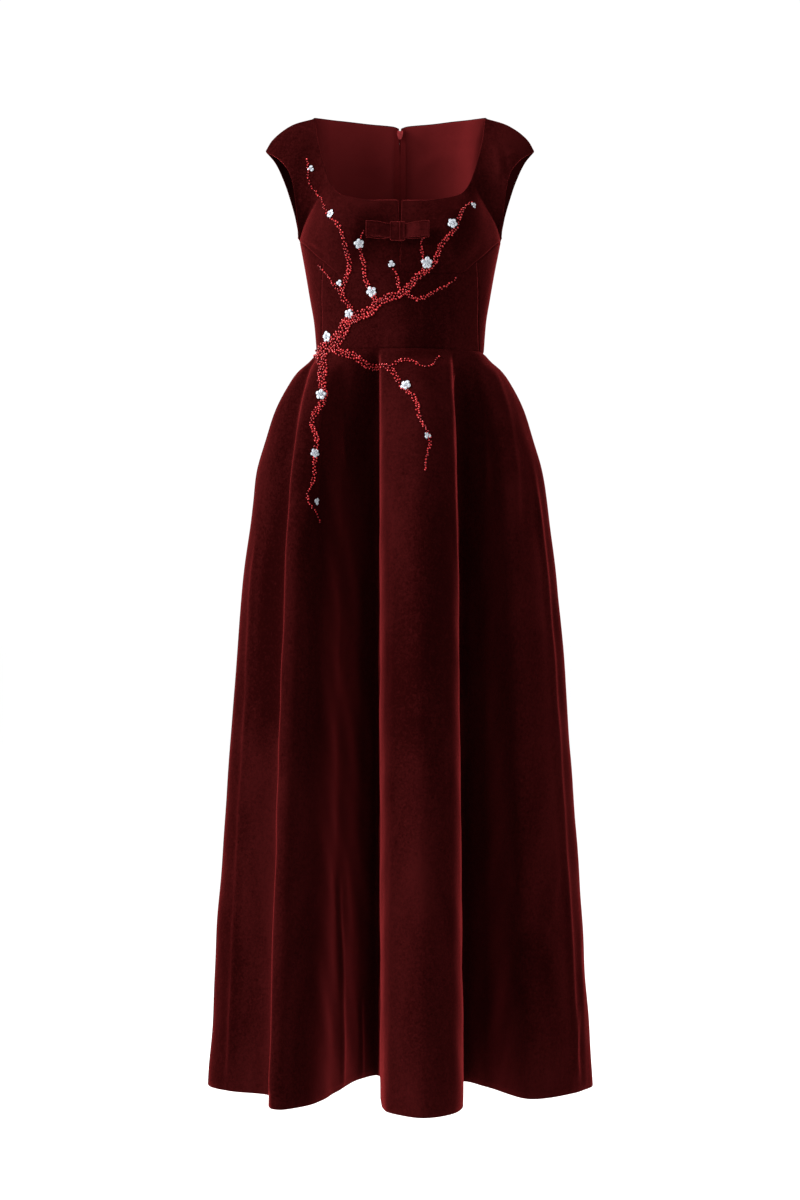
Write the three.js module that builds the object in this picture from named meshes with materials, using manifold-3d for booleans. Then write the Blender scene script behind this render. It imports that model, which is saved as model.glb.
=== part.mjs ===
// Full-length A-line velvet dress in its worn, hollow form.
// Millimetres, +Z up. The front faces -Y and the wearer's left is +X.
// The origin is midway between the two shoulder seams, at the height of their neck ends.
import * as THREE from 'three';
import { mergeVertices } from 'three/addons/utils/BufferGeometryUtils.js';
import Module from 'manifold-3d';

// Driving dimensions
const wall = 2;               // velvet and its turned-in allowance
const seamGap = 0.2;          // a panel stops this far short of each seam
const waistHeight = -342;     // waist seam below the shoulders
const hemHeight = -1402;      // hem below the shoulders
const waistHalfWidth = 121;
const hemHalfWidth = 279;
const underarmHeight = -179;
const bustForward = 27;       // how far each bust cup stands out of its flat panel
const zipGap = 1.7;           // half of the slot that the closed zip leaves at centre back
const zipFoot = -500;         // the zip ends on the hip

const radians = THREE.MathUtils.degToRad;

const velvet = new THREE.MeshStandardMaterial({ color: 0x4a0d10, roughness: 0.85, metalness: 0 });
const satin = new THREE.MeshStandardMaterial({ color: 0x6e161b, roughness: 0.5, metalness: 0 });
const zipCloth = new THREE.MeshStandardMaterial({ color: 0x7a1c20, roughness: 0.7, metalness: 0 });
const zipMetal = new THREE.MeshStandardMaterial({ color: 0x9c3a3c, roughness: 0.35, metalness: 0.6 });
const pearl = new THREE.MeshStandardMaterial({ color: 0xdfe4ea, roughness: 0.3, metalness: 0 });

// Horizontal sections of the body of the dress, from the underarm to the waist seam
const torsoRows = [
  { z: -179, side: 146, front: 113, back: 94 },
  { z: -220, side: 138, front: 105, back: 91 },
  { z: -264, side: 130.5, front: 97, back: 88 },
  { z: -300, side: 124.5, front: 93, back: 86.5 },
  { z: -342, side: 121, front: 91, back: 86 },
];

// Half width of the skirt at each height: a short bell under the waist, then nearly straight
const skirtRows = [
  { z: -342, side: 121 },
  { z: -354, side: 132 },
  { z: -366, side: 146 },
  { z: -380, side: 157 },
  { z: -423, side: 180 },
  { z: -467, side: 194 },
  { z: -510, side: 206 },
  { z: -554, side: 213 },
  { z: -641, side: 225 },
  { z: -728, side: 233 },
  { z: -902, side: 246 },
  { z: -1076, side: 259 },
  { z: -1250, side: 270 },
  { z: -1402, side: 279 },
];

// Underbust seam: level across the front, then up to the underarm. The angle is from centre front.
const underbustRows = [
  { angle: 0, z: -237 },
  { angle: 40, z: -234 },
  { angle: 52, z: -217 },
  { angle: 76, z: -186 },
  { angle: 90, z: -179 },
];

// Centre back line of the bodice
const centreBackRows = [
  { z: -5, back: 50 },
  { z: -60, back: 73 },
  { z: -125, back: 90 },
  { z: -179, back: 94 },
  { z: -220, back: 91 },
  { z: -264, back: 88 },
  { z: -342, back: 86 },
];

// Princess seams of the midriff, as angles from centre front at its top and at the waist
const princessTop = 52.5;
const princessWaist = 70;
const midriffColumns = 14;
const sideColumns = 5;
const princessInset = 0.09;    // degrees that a midriff panel stops short of each of its side seams

// Shares along the upper edge of a back panel and up its side edge
const neckShare = 0.6;         // the back neckline ends and the shoulder seam begins
const underarmShare = 0.48;    // the side seam ends and the armhole begins

// Folds of the skirt, once round from centre front by the wearer's left side.
// Each row is a crest, slope or valley: its place on the waist seam, and its place on the hem.
const foldRows = [
  { name: 'tubeCrest', angle: 10, x: 30, forward: 254 },
  { name: 'tubeTurn', angle: 25, x: 70, forward: 228 },
  { name: 'tubeEdge', angle: 34, x: 86, forward: 188 },
  { name: 'tubeTuck', angle: 39, x: 92, forward: -32 },
  { name: 'rightRise', angle: 50, x: 126, forward: 14 },
  { name: 'rightLobe', angle: 62, x: 182, forward: 112 },
  { name: 'rightFall', angle: 72, x: 222, forward: 92 },
  { name: 'rightCrest', angle: 83, x: 262, forward: 44 },
  { name: 'leftSide', angle: 90, x: 279, forward: 4 },
  { name: 'backFoldA', angle: 99, x: 258, forward: -78 },
  { name: 'backCrestA', angle: 112, x: 218, forward: -162 },
  { name: 'backSlopeA', angle: 121, x: 178, forward: -150 },
  { name: 'backValleyA', angle: 131, x: 152, forward: -80 },
  { name: 'backSlopeB', angle: 142, x: 128, forward: -122 },
  { name: 'backCrestB', angle: 153, x: 102, forward: -212 },
  { name: 'backSlopeC', angle: 163, x: 58, forward: -220 },
  { name: 'centreBack', angle: 180, x: 0, forward: -104 },
  { name: 'backSlopeD', angle: 193, x: -52, forward: -208 },
  { name: 'backCrestD', angle: 205, x: -92, forward: -224 },
  { name: 'backSlopeE', angle: 217, x: -124, forward: -142 },
  { name: 'backValleyE', angle: 228, x: -154, forward: -78 },
  { name: 'backSlopeF', angle: 238, x: -182, forward: -138 },
  { name: 'backCrestF', angle: 249, x: -222, forward: -160 },
  { name: 'backFoldF', angle: 260, x: -260, forward: -76 },
  { name: 'rightSide', angle: 270, x: -278, forward: 0 },
  { name: 'outerCrest', angle: 277, x: -244, forward: 47 },
  { name: 'outerTuck', angle: 282, x: -188, forward: 80 },
  { name: 'leftCrest', angle: 288, x: -179, forward: 186 },
  { name: 'lobeTop', angle: 297, x: -163, forward: 193 },
  { name: 'lobeMid', angle: 310, x: -120, forward: 145 },
  { name: 'lobeFall', angle: 324, x: -88, forward: 45 },
  { name: 'leftValley', angle: 339, x: -58, forward: -52 },
  { name: 'tubeRoot', angle: 345, x: -34, forward: -85 },
  { name: 'tubeStart', angle: 348, x: -25, forward: 180 },
  { name: 'tubeShoulder', angle: 356, x: -14, forward: 216 },
];

// Value of one column of a table at a place, by a smooth curve that never overshoots its rows
function along(rows, key, place, column) {
  const sign = rows[rows.length - 1][key] < rows[0][key] ? -1 : 1;
  const k = rows.map((row) => sign * row[key]);
  const v = rows.map((row) => row[column]);
  const at = THREE.MathUtils.clamp(sign * place, k[0], k[k.length - 1]);
  let i = 0;
  while (i < k.length - 2 && at > k[i + 1]) i += 1;
  const steep = (j) => (v[j + 1] - v[j]) / (k[j + 1] - k[j]);
  const slope = (j) => {
    if (j === 0) return steep(0);
    if (j === k.length - 1) return steep(j - 1);
    const a = steep(j - 1);
    const b = steep(j);
    return a * b <= 0 ? 0 : (2 * a * b) / (a + b);
  };
  const span = k[i + 1] - k[i];
  const t = (at - k[i]) / span;
  const rise = t * t * (3 - 2 * t);
  return v[i] * (1 - rise) + v[i + 1] * rise
    + span * t * (1 - t) * ((1 - t) * slope(i) - t * slope(i + 1));
}

// Point and level outward direction of a horizontal section with its own front and back depth
function sectionPoint(side, front, back, angle, z) {
  const sine = Math.sin(radians(angle));
  const cosine = Math.cos(radians(angle));
  const depth = cosine > 0 ? front : back;
  const p = new THREE.Vector3(side * sine, -depth * cosine, z);
  const n = new THREE.Vector3(sine / side, -cosine / depth, 0).normalize();
  return { p, n };
}

function torso(angle, z) {
  return sectionPoint(
    along(torsoRows, 'z', z, 'side'),
    along(torsoRows, 'z', z, 'front'),
    along(torsoRows, 'z', z, 'back'),
    angle,
    z,
  );
}

// Direction square to a grid at one of its points, from its neighbours
function squareTo(grid, i, j, closed) {
  const rows = grid.length;
  const columns = grid[0].length;
  const after = closed ? (j + 1) % columns : Math.min(j + 1, columns - 1);
  const before = closed ? (j + columns - 1) % columns : Math.max(j - 1, 0);
  const down = grid[Math.min(i + 1, rows - 1)][j].p.clone().sub(grid[Math.max(i - 1, 0)][j].p);
  const across = grid[i][after].p.clone().sub(grid[i][before].p);
  return across.cross(down).normalize();
}

// A panel of cloth: a grid of outer points, the same grid moved in by the wall, and its four edges.
// A point may bring its own outward direction, which keeps two panels parallel at their seam.
// A closed grid is a loop: its last column joins its first.
function cloth(name, grid, material, thickness = wall, closed = false) {
  const rows = grid.length;
  const columns = grid[0].length;
  const half = Math.floor(rows / 2);
  const quarter = Math.floor(columns / 2);
  const centre = new THREE.Vector3();
  if (closed) grid[half].forEach((cell) => centre.addScaledVector(cell.p, 1 / columns));
  const guide = grid[half][quarter].p.clone().sub(centre).setZ(0);
  const turn = squareTo(grid, half, quarter, closed).dot(guide) < 0 ? -1 : 1;
  const points = [];
  grid.forEach((row) => row.forEach((cell) => points.push(cell.p)));
  grid.forEach((row, i) => row.forEach((cell, j) => {
    const n = cell.n ? cell.n : squareTo(grid, i, j, closed).multiplyScalar(turn);
    points.push(cell.p.clone().addScaledVector(n, -thickness));
  }));
  const outer = (i, j) => i * columns + j;
  const inner = (i, j) => rows * columns + i * columns + j;
  const faces = [];
  const quad = (a, b, c, d) => faces.push(a, b, c, a, c, d);
  const last = columns - 1;
  const spans = closed ? columns : last;
  for (let i = 0; i < rows - 1; i += 1) {
    for (let j = 0; j < spans; j += 1) {
      const next = (j + 1) % columns;
      quad(outer(i, j), outer(i, next), outer(i + 1, next), outer(i + 1, j));
      quad(inner(i, j), inner(i + 1, j), inner(i + 1, next), inner(i, next));
    }
    if (!closed) {
      quad(outer(i, 0), outer(i + 1, 0), inner(i + 1, 0), inner(i, 0));
      quad(outer(i + 1, last), outer(i, last), inner(i, last), inner(i + 1, last));
    }
  }
  for (let j = 0; j < spans; j += 1) {
    const next = (j + 1) % columns;
    quad(outer(0, next), outer(0, j), inner(0, j), inner(0, next));
    quad(outer(rows - 1, j), outer(rows - 1, next), inner(rows - 1, next), inner(rows - 1, j));
  }
  return solid(name, points, faces, material);
}

// A closed mesh, turned right side out by the sign of its volume
function solid(name, points, faces, material) {
  let volume = 0;
  for (let k = 0; k < faces.length; k += 3) {
    const [a, b, c] = [points[faces[k]], points[faces[k + 1]], points[faces[k + 2]]];
    volume += a.dot(b.clone().cross(c));
  }
  if (volume < 0) faces.reverse();
  const geometry = new THREE.BufferGeometry();
  geometry.setAttribute('position', new THREE.Float32BufferAttribute(points.flatMap((p) => p.toArray()), 3));
  geometry.setIndex(faces);
  geometry.computeVertexNormals();
  const mesh = new THREE.Mesh(geometry, material);
  mesh.name = name;
  return mesh;
}

// A four-sided patch between its edges: top and bottom run across, start and end run down
function patch(top, bottom, start, end, rows, columns) {
  const corner = [top(0), top(1), bottom(0), bottom(1)];
  return Array.from({ length: rows + 1 }, (_, i) => {
    const t = i / rows;
    return Array.from({ length: columns + 1 }, (_, j) => {
      const s = j / columns;
      const p = new THREE.Vector3()
        .addScaledVector(top(s), 1 - t)
        .addScaledVector(bottom(s), t)
        .addScaledVector(start(t), 1 - s)
        .addScaledVector(end(t), s)
        .addScaledVector(corner[0], -(1 - s) * (1 - t))
        .addScaledVector(corner[1], -s * (1 - t))
        .addScaledVector(corner[2], -(1 - s) * t)
        .addScaledVector(corner[3], -s * t);
      return { p, s, t };
    });
  });
}

// A curve through the rows of a table with the columns at, x, y and z
function curve(rows) {
  return (at) => new THREE.Vector3(
    along(rows, 'at', at, 'x'),
    along(rows, 'at', at, 'y'),
    along(rows, 'at', at, 'z'),
  );
}

const mirrored = (grid) => grid.map((row) => row.map((cell) => ({
  ...cell,
  p: cell.p.clone().multiply(new THREE.Vector3(-1, 1, 1)),
  n: cell.n ? cell.n.clone().multiply(new THREE.Vector3(-1, 1, 1)) : undefined,
})));

// Shoulder seam from the neck to the tip of the cut-on cap sleeve, as a ridge over y = 0
const shoulderRows = [
  { at: 0, x: 124.5, y: 0, z: 0 },
  { at: 0.35, x: 152, y: 0, z: -8 },
  { at: 0.6, x: 169.5, y: 0, z: -17.5 },
  { at: 0.85, x: 187, y: 0, z: -33 },
  { at: 1, x: 195.5, y: 0, z: -47.5 },
];
const shoulder = curve(shoulderRows);
const shoulderUp = (t) => {
  const slope = shoulder(Math.min(t + 0.05, 1)).sub(shoulder(Math.max(t - 0.05, 0)));
  return new THREE.Vector3(-slope.z, 0, slope.x).normalize();
};

// Square front neckline, from the top of the centre slit to the shoulder
const necklineRows = [
  { at: 0, x: 3.6, y: -84, z: -131.5 },
  { at: 0.14, x: 36, y: -84.5, z: -131.5 },
  { at: 0.28, x: 68, y: -82, z: -127 },
  { at: 0.38, x: 87, y: -76, z: -120.5 },
  { at: 0.48, x: 99.5, y: -66, z: -106 },
  { at: 0.6, x: 107, y: -53, z: -86 },
  { at: 0.8, x: 118.5, y: -25, z: -41 },
  { at: 1, x: 124.5, y: -seamGap, z: 0 },
];

// Front edge of the armhole, from the underarm to the cap tip
const armholeFrontRows = [
  { at: 0.5, x: 146, y: -seamGap, z: -179 },
  { at: 0.58, x: 146.5, y: -22, z: -164 },
  { at: 0.68, x: 148.5, y: -37, z: -140 },
  { at: 0.78, x: 152, y: -42, z: -110 },
  { at: 0.86, x: 158.5, y: -37, z: -85 },
  { at: 0.93, x: 173, y: -22, z: -64 },
  { at: 1, x: 195.5, y: -seamGap, z: -47.5 },
];

// Centre front edge of a bust panel: the slit, 7 mm wide at the neckline and closed at the seam
const slitRows = [
  { at: 0, x: 3.6, y: -84, z: -131.5 },
  { at: 0.35, x: 2.4, y: -96, z: -168 },
  { at: 0.7, x: 1.2, y: -103, z: -205 },
  { at: 1, x: seamGap, y: -101.5, z: -237 + seamGap },
];

// Front upper panel: cut-on cap, half of the square neckline, and a cup over the underbust seam
function bustPanel() {
  const neckline = curve(necklineRows);
  const armhole = curve(armholeFrontRows);
  const slit = curve(slitRows);
  const seam = (s) => {
    const angle = s * 2 * 90;
    const { p } = torso(angle, along(underbustRows, 'angle', angle, 'z'));
    return p.add(new THREE.Vector3(s < 0.1 ? seamGap * (1 - s * 10) : 0, 0, seamGap));
  };
  const outer = (s) => (s <= 0.5 ? seam(s) : armhole(s));
  const end = (t) => shoulder(t).setY(-seamGap);
  const grid = patch(neckline, outer, slit, end, 10, 24);
  const cup = { x: 82, z: -174, width: 46, height: 50 };
  grid.forEach((row) => row.forEach((cell) => {
    const { p, s, t } = cell;
    const near = Math.exp(-(((p.x - cup.x) / cup.width) ** 2) - ((p.z - cup.z) / cup.height) ** 2);
    const edge = (1 - (2 * t - 1) ** 4) * THREE.MathUtils.smoothstep(s, 0, 0.22);
    p.y -= bustForward * near * edge;
    if (t === 1 && s <= 0.5) cell.n = torso(s * 180, p.z).n;
    if (s === 1) cell.n = shoulderUp(t);
    if (s === 0) cell.n = new THREE.Vector3(0, -1, 0);
  }));
  return grid;
}

// Back neckline from centre back to the shoulder, then along the shoulder seam to the cap tip
const backNeckRows = [
  { at: 0, x: zipGap, y: 50, z: -5 },
  { at: 0.2, x: 42, y: 46, z: -2 },
  { at: 0.42, x: 90, y: 27, z: 0.3 },
  { at: 0.6, x: 124.5, y: seamGap, z: 0 },
];

// Back edge of the armhole, from the underarm to the cap tip
const armholeBackRows = [
  { at: 0.48, x: 146, y: seamGap, z: -179 },
  { at: 0.56, x: 148, y: 20, z: -164 },
  { at: 0.67, x: 153, y: 36, z: -140 },
  { at: 0.78, x: 162, y: 40, z: -108 },
  { at: 0.88, x: 172, y: 33, z: -81 },
  { at: 0.95, x: 182.5, y: 18, z: -61 },
  { at: 1, x: 195.5, y: seamGap, z: -47.5 },
];

// Back panel in one piece from the waist seam to the neck, with the back half of the cap
function backPanel() {
  const neck = curve(backNeckRows);
  const armhole = curve(armholeBackRows);
  const alongShoulder = (s) => (s - neckShare) / (1 - neckShare);
  const top = (s) => (s <= neckShare ? neck(s) : shoulder(alongShoulder(s)).setY(seamGap));
  const bottom = (s) => {
    const { p } = torso(180 - 90 * s, waistHeight);
    p.x = Math.max(p.x, zipGap);
    p.y = Math.max(p.y, seamGap);
    return p.setZ(waistHeight + seamGap);
  };
  const start = (t) => {
    const z = THREE.MathUtils.lerp(-5, waistHeight + seamGap, t);
    return new THREE.Vector3(zipGap, along(centreBackRows, 'z', z, 'back'), z);
  };
  const end = (t) => {
    const up = 1 - t;
    if (up >= underarmShare) return armhole(up);
    const z = THREE.MathUtils.lerp(waistHeight + seamGap, underarmHeight, up / underarmShare);
    return new THREE.Vector3(along(torsoRows, 'z', z, 'side'), seamGap, z);
  };
  const grid = patch(top, bottom, start, end, 14, 10);
  const blade = { x: 85, z: -120, width: 60, height: 75, forward: 15 };
  grid.forEach((row) => row.forEach((cell) => {
    const { p, s, t } = cell;
    const near = Math.exp(-(((p.x - blade.x) / blade.width) ** 2) - ((p.z - blade.z) / blade.height) ** 2);
    p.y += blade.forward * near * (1 - (2 * t - 1) ** 4) * (1 - (2 * s - 1) ** 4);
    if (t === 1) cell.n = torso(180 - 90 * s, waistHeight).n;
    if (s === 0) cell.n = new THREE.Vector3(0, 1, 0);
    if (s === 1 && 1 - t < underarmShare) cell.n = new THREE.Vector3(1, 0, 0);
    if (t === 0 && s > neckShare - 0.01) cell.n = shoulderUp(alongShoulder(s));
  }));
  return grid;
}

// Midriff between two angles, from the underbust seam to the waist seam
function midriff(startTop, startWaist, endTop, endWaist, columns) {
  const rows = 5;
  return Array.from({ length: rows + 1 }, (_, i) => {
    const t = i / rows;
    return Array.from({ length: columns + 1 }, (_, j) => {
      const s = j / columns;
      const from = THREE.MathUtils.lerp(startTop, startWaist, t) + princessInset;
      const to = THREE.MathUtils.lerp(endTop, endWaist, t) - princessInset;
      const angle = THREE.MathUtils.lerp(from, to, s);
      const top = along(underbustRows, 'angle', Math.abs(angle), 'z') - seamGap;
      const z = THREE.MathUtils.lerp(top, waistHeight + seamGap, t);
      return torso(angle, z);
    });
  });
}

// Closed plan of the skirt at one height. The folds start on the waist seam and open with the bell.
function skirtRing(z, count) {
  const spread = (along(skirtRows, 'z', z, 'side') - waistHalfWidth) / (hemHalfWidth - waistHalfWidth);
  const points = foldRows.map((row) => {
    const waist = torso(row.angle, waistHeight).p;
    const x = THREE.MathUtils.lerp(waist.x, row.x, spread);
    const y = THREE.MathUtils.lerp(waist.y, -row.forward, spread ** foldBloom);
    return new THREE.Vector3(x, y, z);
  });
  const ring = new THREE.CatmullRomCurve3(points, true, 'centripetal');
  return Array.from({ length: count }, (_, k) => ring.getPoint(k / count));
}

const skirtSteps = 3;                                  // steps from one fold row to the next
const skirtColumns = foldRows.length * skirtSteps;
const skirtLevels = 15;
const skirtTop = waistHeight - seamGap;
const levelCrowding = 1.7;     // the levels of the skirt crowd towards the waist by this power
const foldBloom = 1.1;         // the folds reach forward and back by this power of the spread
const columnOf = (name) => foldRows.findIndex((row) => row.name === name) * skirtSteps;

function skirtGrid() {
  const grid = Array.from({ length: skirtLevels + 1 }, (_, i) => {
    const z = THREE.MathUtils.lerp(skirtTop, hemHeight, (i / skirtLevels) ** levelCrowding);
    return skirtRing(z, skirtColumns).map((p) => ({ p }));
  });
  grid.forEach((row, i) => row.forEach((cell, j) => {
    const after = row[(j + 1) % skirtColumns].p;
    const before = row[(j + skirtColumns - 1) % skirtColumns].p;
    const across = after.clone().sub(before);
    const down = grid[Math.min(i + 1, skirtLevels)][j].p.clone().sub(grid[Math.max(i - 1, 0)][j].p);
    const level = i === 0 || i === skirtLevels;
    const n = across.clone().cross(down).negate();
    if (level) n.setZ(0);
    cell.across = across.normalize();
    cell.n = n.normalize();
  }));
  return grid;
}

// The columns of one skirt panel, pulled back from its two seams
function skirtPanel(grid, from, to) {
  const count = (to - from + skirtColumns) % skirtColumns;
  return grid.map((row) => Array.from({ length: count + 1 }, (_, k) => {
    const cell = row[(from + k) % skirtColumns];
    const p = cell.p.clone();
    if (k === 0) p.addScaledVector(cell.across, seamGap);
    if (k === count) p.addScaledVector(cell.across, -seamGap);
    return { p, n: cell.n };
  }));
}

// Centre back of the outer cloth at any height, over bodice and skirt
function centreBack(z) {
  if (z > skirtTop) return along(centreBackRows, 'z', z, 'back');
  const row = foldRows.find((fold) => fold.name === 'centreBack');
  const spread = (along(skirtRows, 'z', z, 'side') - waistHalfWidth) / (hemHalfWidth - waistHalfWidth);
  return THREE.MathUtils.lerp(-torso(180, waistHeight).p.y, row.forward, spread ** foldBloom) * -1;
}

// One tape of the concealed zip, inside the back. Above the slider the two tapes stand apart.
const zip = {
  top: -8, clear: 1.6, tape: 1, width: 8.5, closed: 0.3, sliderAt: -14, sliderFoot: -23,
};

function zipTape() {
  const steps = 24;
  return Array.from({ length: steps + 1 }, (_, i) => {
    const z = i < 3
      ? THREE.MathUtils.lerp(zip.top, zip.sliderFoot, i / 2)
      : THREE.MathUtils.lerp(zip.sliderFoot, zipFoot, (i - 2) / (steps - 2));
    const y = centreBack(z) - wall - zip.clear;
    const from = z > zip.sliderFoot - 1 ? zipGap : zip.closed;
    return [from, zip.width].map((x) => ({
      p: new THREE.Vector3(x, y, z),
      n: new THREE.Vector3(0, 1, 0),
    }));
  });
}

const wasm = await Module();
wasm.setup();

function toManifold(geometry) {
  const bare = geometry.index ? geometry.toNonIndexed() : geometry.clone();
  bare.deleteAttribute('normal');
  bare.deleteAttribute('uv');
  const merged = mergeVertices(bare, 1e-4);
  return new wasm.Manifold(new wasm.Mesh({
    numProp: 3,
    vertProperties: merged.attributes.position.array,
    triVerts: new Uint32Array(merged.index.array),
  }));
}

function joined(name, geometries, material) {
  const whole = geometries.map(toManifold).reduce((sum, next) => sum.add(next));
  const { vertProperties, triVerts } = whole.getMesh();
  const geometry = new THREE.BufferGeometry();
  geometry.setAttribute('position', new THREE.BufferAttribute(vertProperties, 3));
  geometry.setIndex(Array.from(triVerts));
  geometry.computeVertexNormals();
  const mesh = new THREE.Mesh(geometry, material);
  mesh.name = name;
  return mesh;
}

// Slider and pull, in their own frame: +Y out of the cloth, the cloth's face at y = 0.
// The pull turns on a bar that the slider's neck carries through the slot at centre back.
const slider = {
  halfWidth: 4.5, height: 12, inner: -7.8, face: -4.9, neck: 1.1, barOut: 2.7, bar: 0.8, barHalf: 2.9,
};
const pull = {
  hole: 1.1, knuckle: 2, from: 1.4, to: 2.4, length: 19, foot: 3.1, thickness: 1.2, eye: 1.3,
};

function alongX(geometry, x, y, z) {
  return geometry.rotateY(Math.PI / 2).translate(x, y, z);
}

function zipSlider() {
  const outline = new THREE.Shape();
  const top = slider.height / 2;
  outline.moveTo(-slider.halfWidth, top);
  outline.lineTo(slider.halfWidth, top);
  outline.quadraticCurveTo(slider.halfWidth, -top * 0.4, 1.6, -top);
  outline.lineTo(-1.6, -top);
  outline.quadraticCurveTo(-slider.halfWidth, -top * 0.4, -slider.halfWidth, top);
  const depth = slider.face - slider.inner;
  const plate = new THREE.ExtrudeGeometry(outline, { depth, bevelEnabled: false, curveSegments: 4 });
  plate.rotateX(Math.PI / 2).translate(0, slider.face, 0);
  const neckLength = slider.barOut - slider.face + 0.6;
  const neck = new THREE.BoxGeometry(2 * slider.neck, neckLength, 3);
  neck.translate(0, slider.barOut - neckLength / 2, 0);
  const bar = alongX(new THREE.CylinderGeometry(slider.bar, slider.bar, 2 * slider.barHalf, 12)
    .rotateX(Math.PI / 2), 0, slider.barOut, 0);
  return joined('zip_slider', [plate, neck, bar], zipMetal);
}

function zipPull() {
  const knuckle = (x) => {
    const ring = new THREE.Shape();
    ring.absarc(0, 0, pull.knuckle, 0, Math.PI * 2);
    const hole = new THREE.Path();
    hole.absarc(0, 0, pull.hole, 0, Math.PI * 2, true);
    ring.holes.push(hole);
    const depth = pull.to - pull.from;
    const geometry = new THREE.ExtrudeGeometry(ring, { depth, bevelEnabled: false, curveSegments: 7 });
    return alongX(geometry, x, slider.barOut, 0);
  };
  const tab = new THREE.Shape();
  const shoulderZ = -1.5;
  tab.moveTo(-pull.to, shoulderZ);
  tab.lineTo(-pull.foot, foot(0.85));
  tab.quadraticCurveTo(-pull.foot, foot(1), 0, foot(1));
  tab.quadraticCurveTo(pull.foot, foot(1), pull.foot, foot(0.85));
  tab.lineTo(pull.to, shoulderZ);
  tab.lineTo(pull.from, shoulderZ);
  tab.lineTo(pull.from, foot(0.16));
  tab.lineTo(-pull.from, foot(0.16));
  tab.lineTo(-pull.from, shoulderZ);
  const eye = new THREE.Path();
  eye.absarc(0, foot(0.8), pull.eye, 0, Math.PI * 2, true);
  tab.holes.push(eye);
  const depth = pull.thickness;
  const plate = new THREE.ExtrudeGeometry(tab, { depth, bevelEnabled: false, curveSegments: 6 });
  plate.rotateX(Math.PI / 2).translate(0, slider.barOut + pull.thickness / 2, 0);
  return joined('zip_pull', [knuckle(pull.from), knuckle(-pull.to), plate], zipMetal);
}

function foot(share) {
  return -pull.length * share;
}

// Flat tailored bow over the slit, in its own frame: -Y out of the cloth, the cloth at y = 0
const bow = {
  x: -3.5, z: -179, clear: 4, lean: -9, reach: 45, rise: 12, halfHeight: 11.2, pinched: 10.3,
  band: 1.2, inner: -2.3, outer: -7.2, knotHalf: 10.6, knotHeight: 13.6, knotBack: -0.6, knotFront: -9.6,
};

function bowLoop() {
  const section = [
    { x: 1.5, y: bow.inner }, { x: 13, y: bow.inner - 1.5 }, { x: 28, y: bow.inner - 0.55 * bow.rise },
    { x: bow.reach - 3, y: bow.inner - bow.rise }, { x: bow.reach, y: bow.inner - bow.rise - 2.6 },
    { x: bow.reach - 3, y: bow.outer - bow.rise + 0.2 }, { x: 28, y: bow.outer - 0.75 * bow.rise },
    { x: 13, y: bow.outer - 1.4 }, { x: 1.5, y: bow.outer },
  ].map((p) => new THREE.Vector3(p.x, p.y, 0));
  const loop = new THREE.CatmullRomCurve3(section, true, 'centripetal');
  const rows = 4;
  return Array.from({ length: rows + 1 }, (_, i) => Array.from({ length: 22 }, (__, k) => {
    const p = loop.getPoint(k / 22);
    const open = THREE.MathUtils.smoothstep(p.x, 10, 30);
    p.z = THREE.MathUtils.lerp(bow.pinched, bow.halfHeight, open) * (1 - (2 * i) / rows);
    return { p };
  }));
}

function bowKnot() {
  const rows = 6;
  const corner = 3;
  const half = (bow.knotBack - bow.knotFront) / 2;
  const middle = (bow.knotBack + bow.knotFront) / 2;
  return Array.from({ length: rows + 1 }, (_, i) => {
    const across = (2 * i) / rows - 1;
    const dip = 0.8 * Math.exp(-((across / 0.3) ** 2));
    return Array.from({ length: 20 }, (__, k) => {
      const turn = (k / 20) * Math.PI * 2;
      const z = Math.sign(Math.cos(turn)) * Math.abs(Math.cos(turn)) ** (1 / corner) * (bow.knotHeight - dip);
      const y = middle + Math.sign(Math.sin(turn)) * Math.abs(Math.sin(turn)) ** (2 / corner) * half;
      const front = y < middle ? dip : 0;
      return { p: new THREE.Vector3(across * bow.knotHalf, y + front, z) };
    });
  });
}

// White blossoms, sewn on one by one. The place is seen from the front; petals count three or five.
const blossomRows = [
  { x: -104, z: -322, radius: 8.6, petals: 5, turn: 10 },
  { x: -72, z: -292, radius: 7, petals: 5, turn: 40 },
  { x: -86, z: -248, radius: 5, petals: 3, turn: 0 },
  { x: -40, z: -262, radius: 7.8, petals: 5, turn: 65 },
  { x: -12, z: -224, radius: 5.2, petals: 3, turn: 80 },
  { x: 38, z: -222, radius: 8.6, petals: 5, turn: 20 },
  { x: 74, z: -168, radius: 7.4, petals: 5, turn: 50 },
  { x: 104, z: -138, radius: 5, petals: 3, turn: 30 },
  { x: -58, z: -196, radius: 7.4, petals: 5, turn: 5 },
  { x: -98, z: -152, radius: 6.4, petals: 5, turn: 33 },
  { x: -128, z: -80, radius: 5, petals: 3, turn: 100 },
  { x: -112, z: -408, radius: 8.2, petals: 5, turn: 25 },
  { x: -120, z: -492, radius: 6.7, petals: 5, turn: 60 },
  { x: -118, z: -560, radius: 5.2, petals: 3, turn: 15 },
  { x: 8, z: -398, radius: 7.8, petals: 5, turn: 45 },
  { x: 38, z: -470, radius: 5.2, petals: 3, turn: 70 },
];
const blossom = { lift: 0.7, edge: 1.1, dome: 2.4, heart: 1.6, spokes: 4 };

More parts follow.
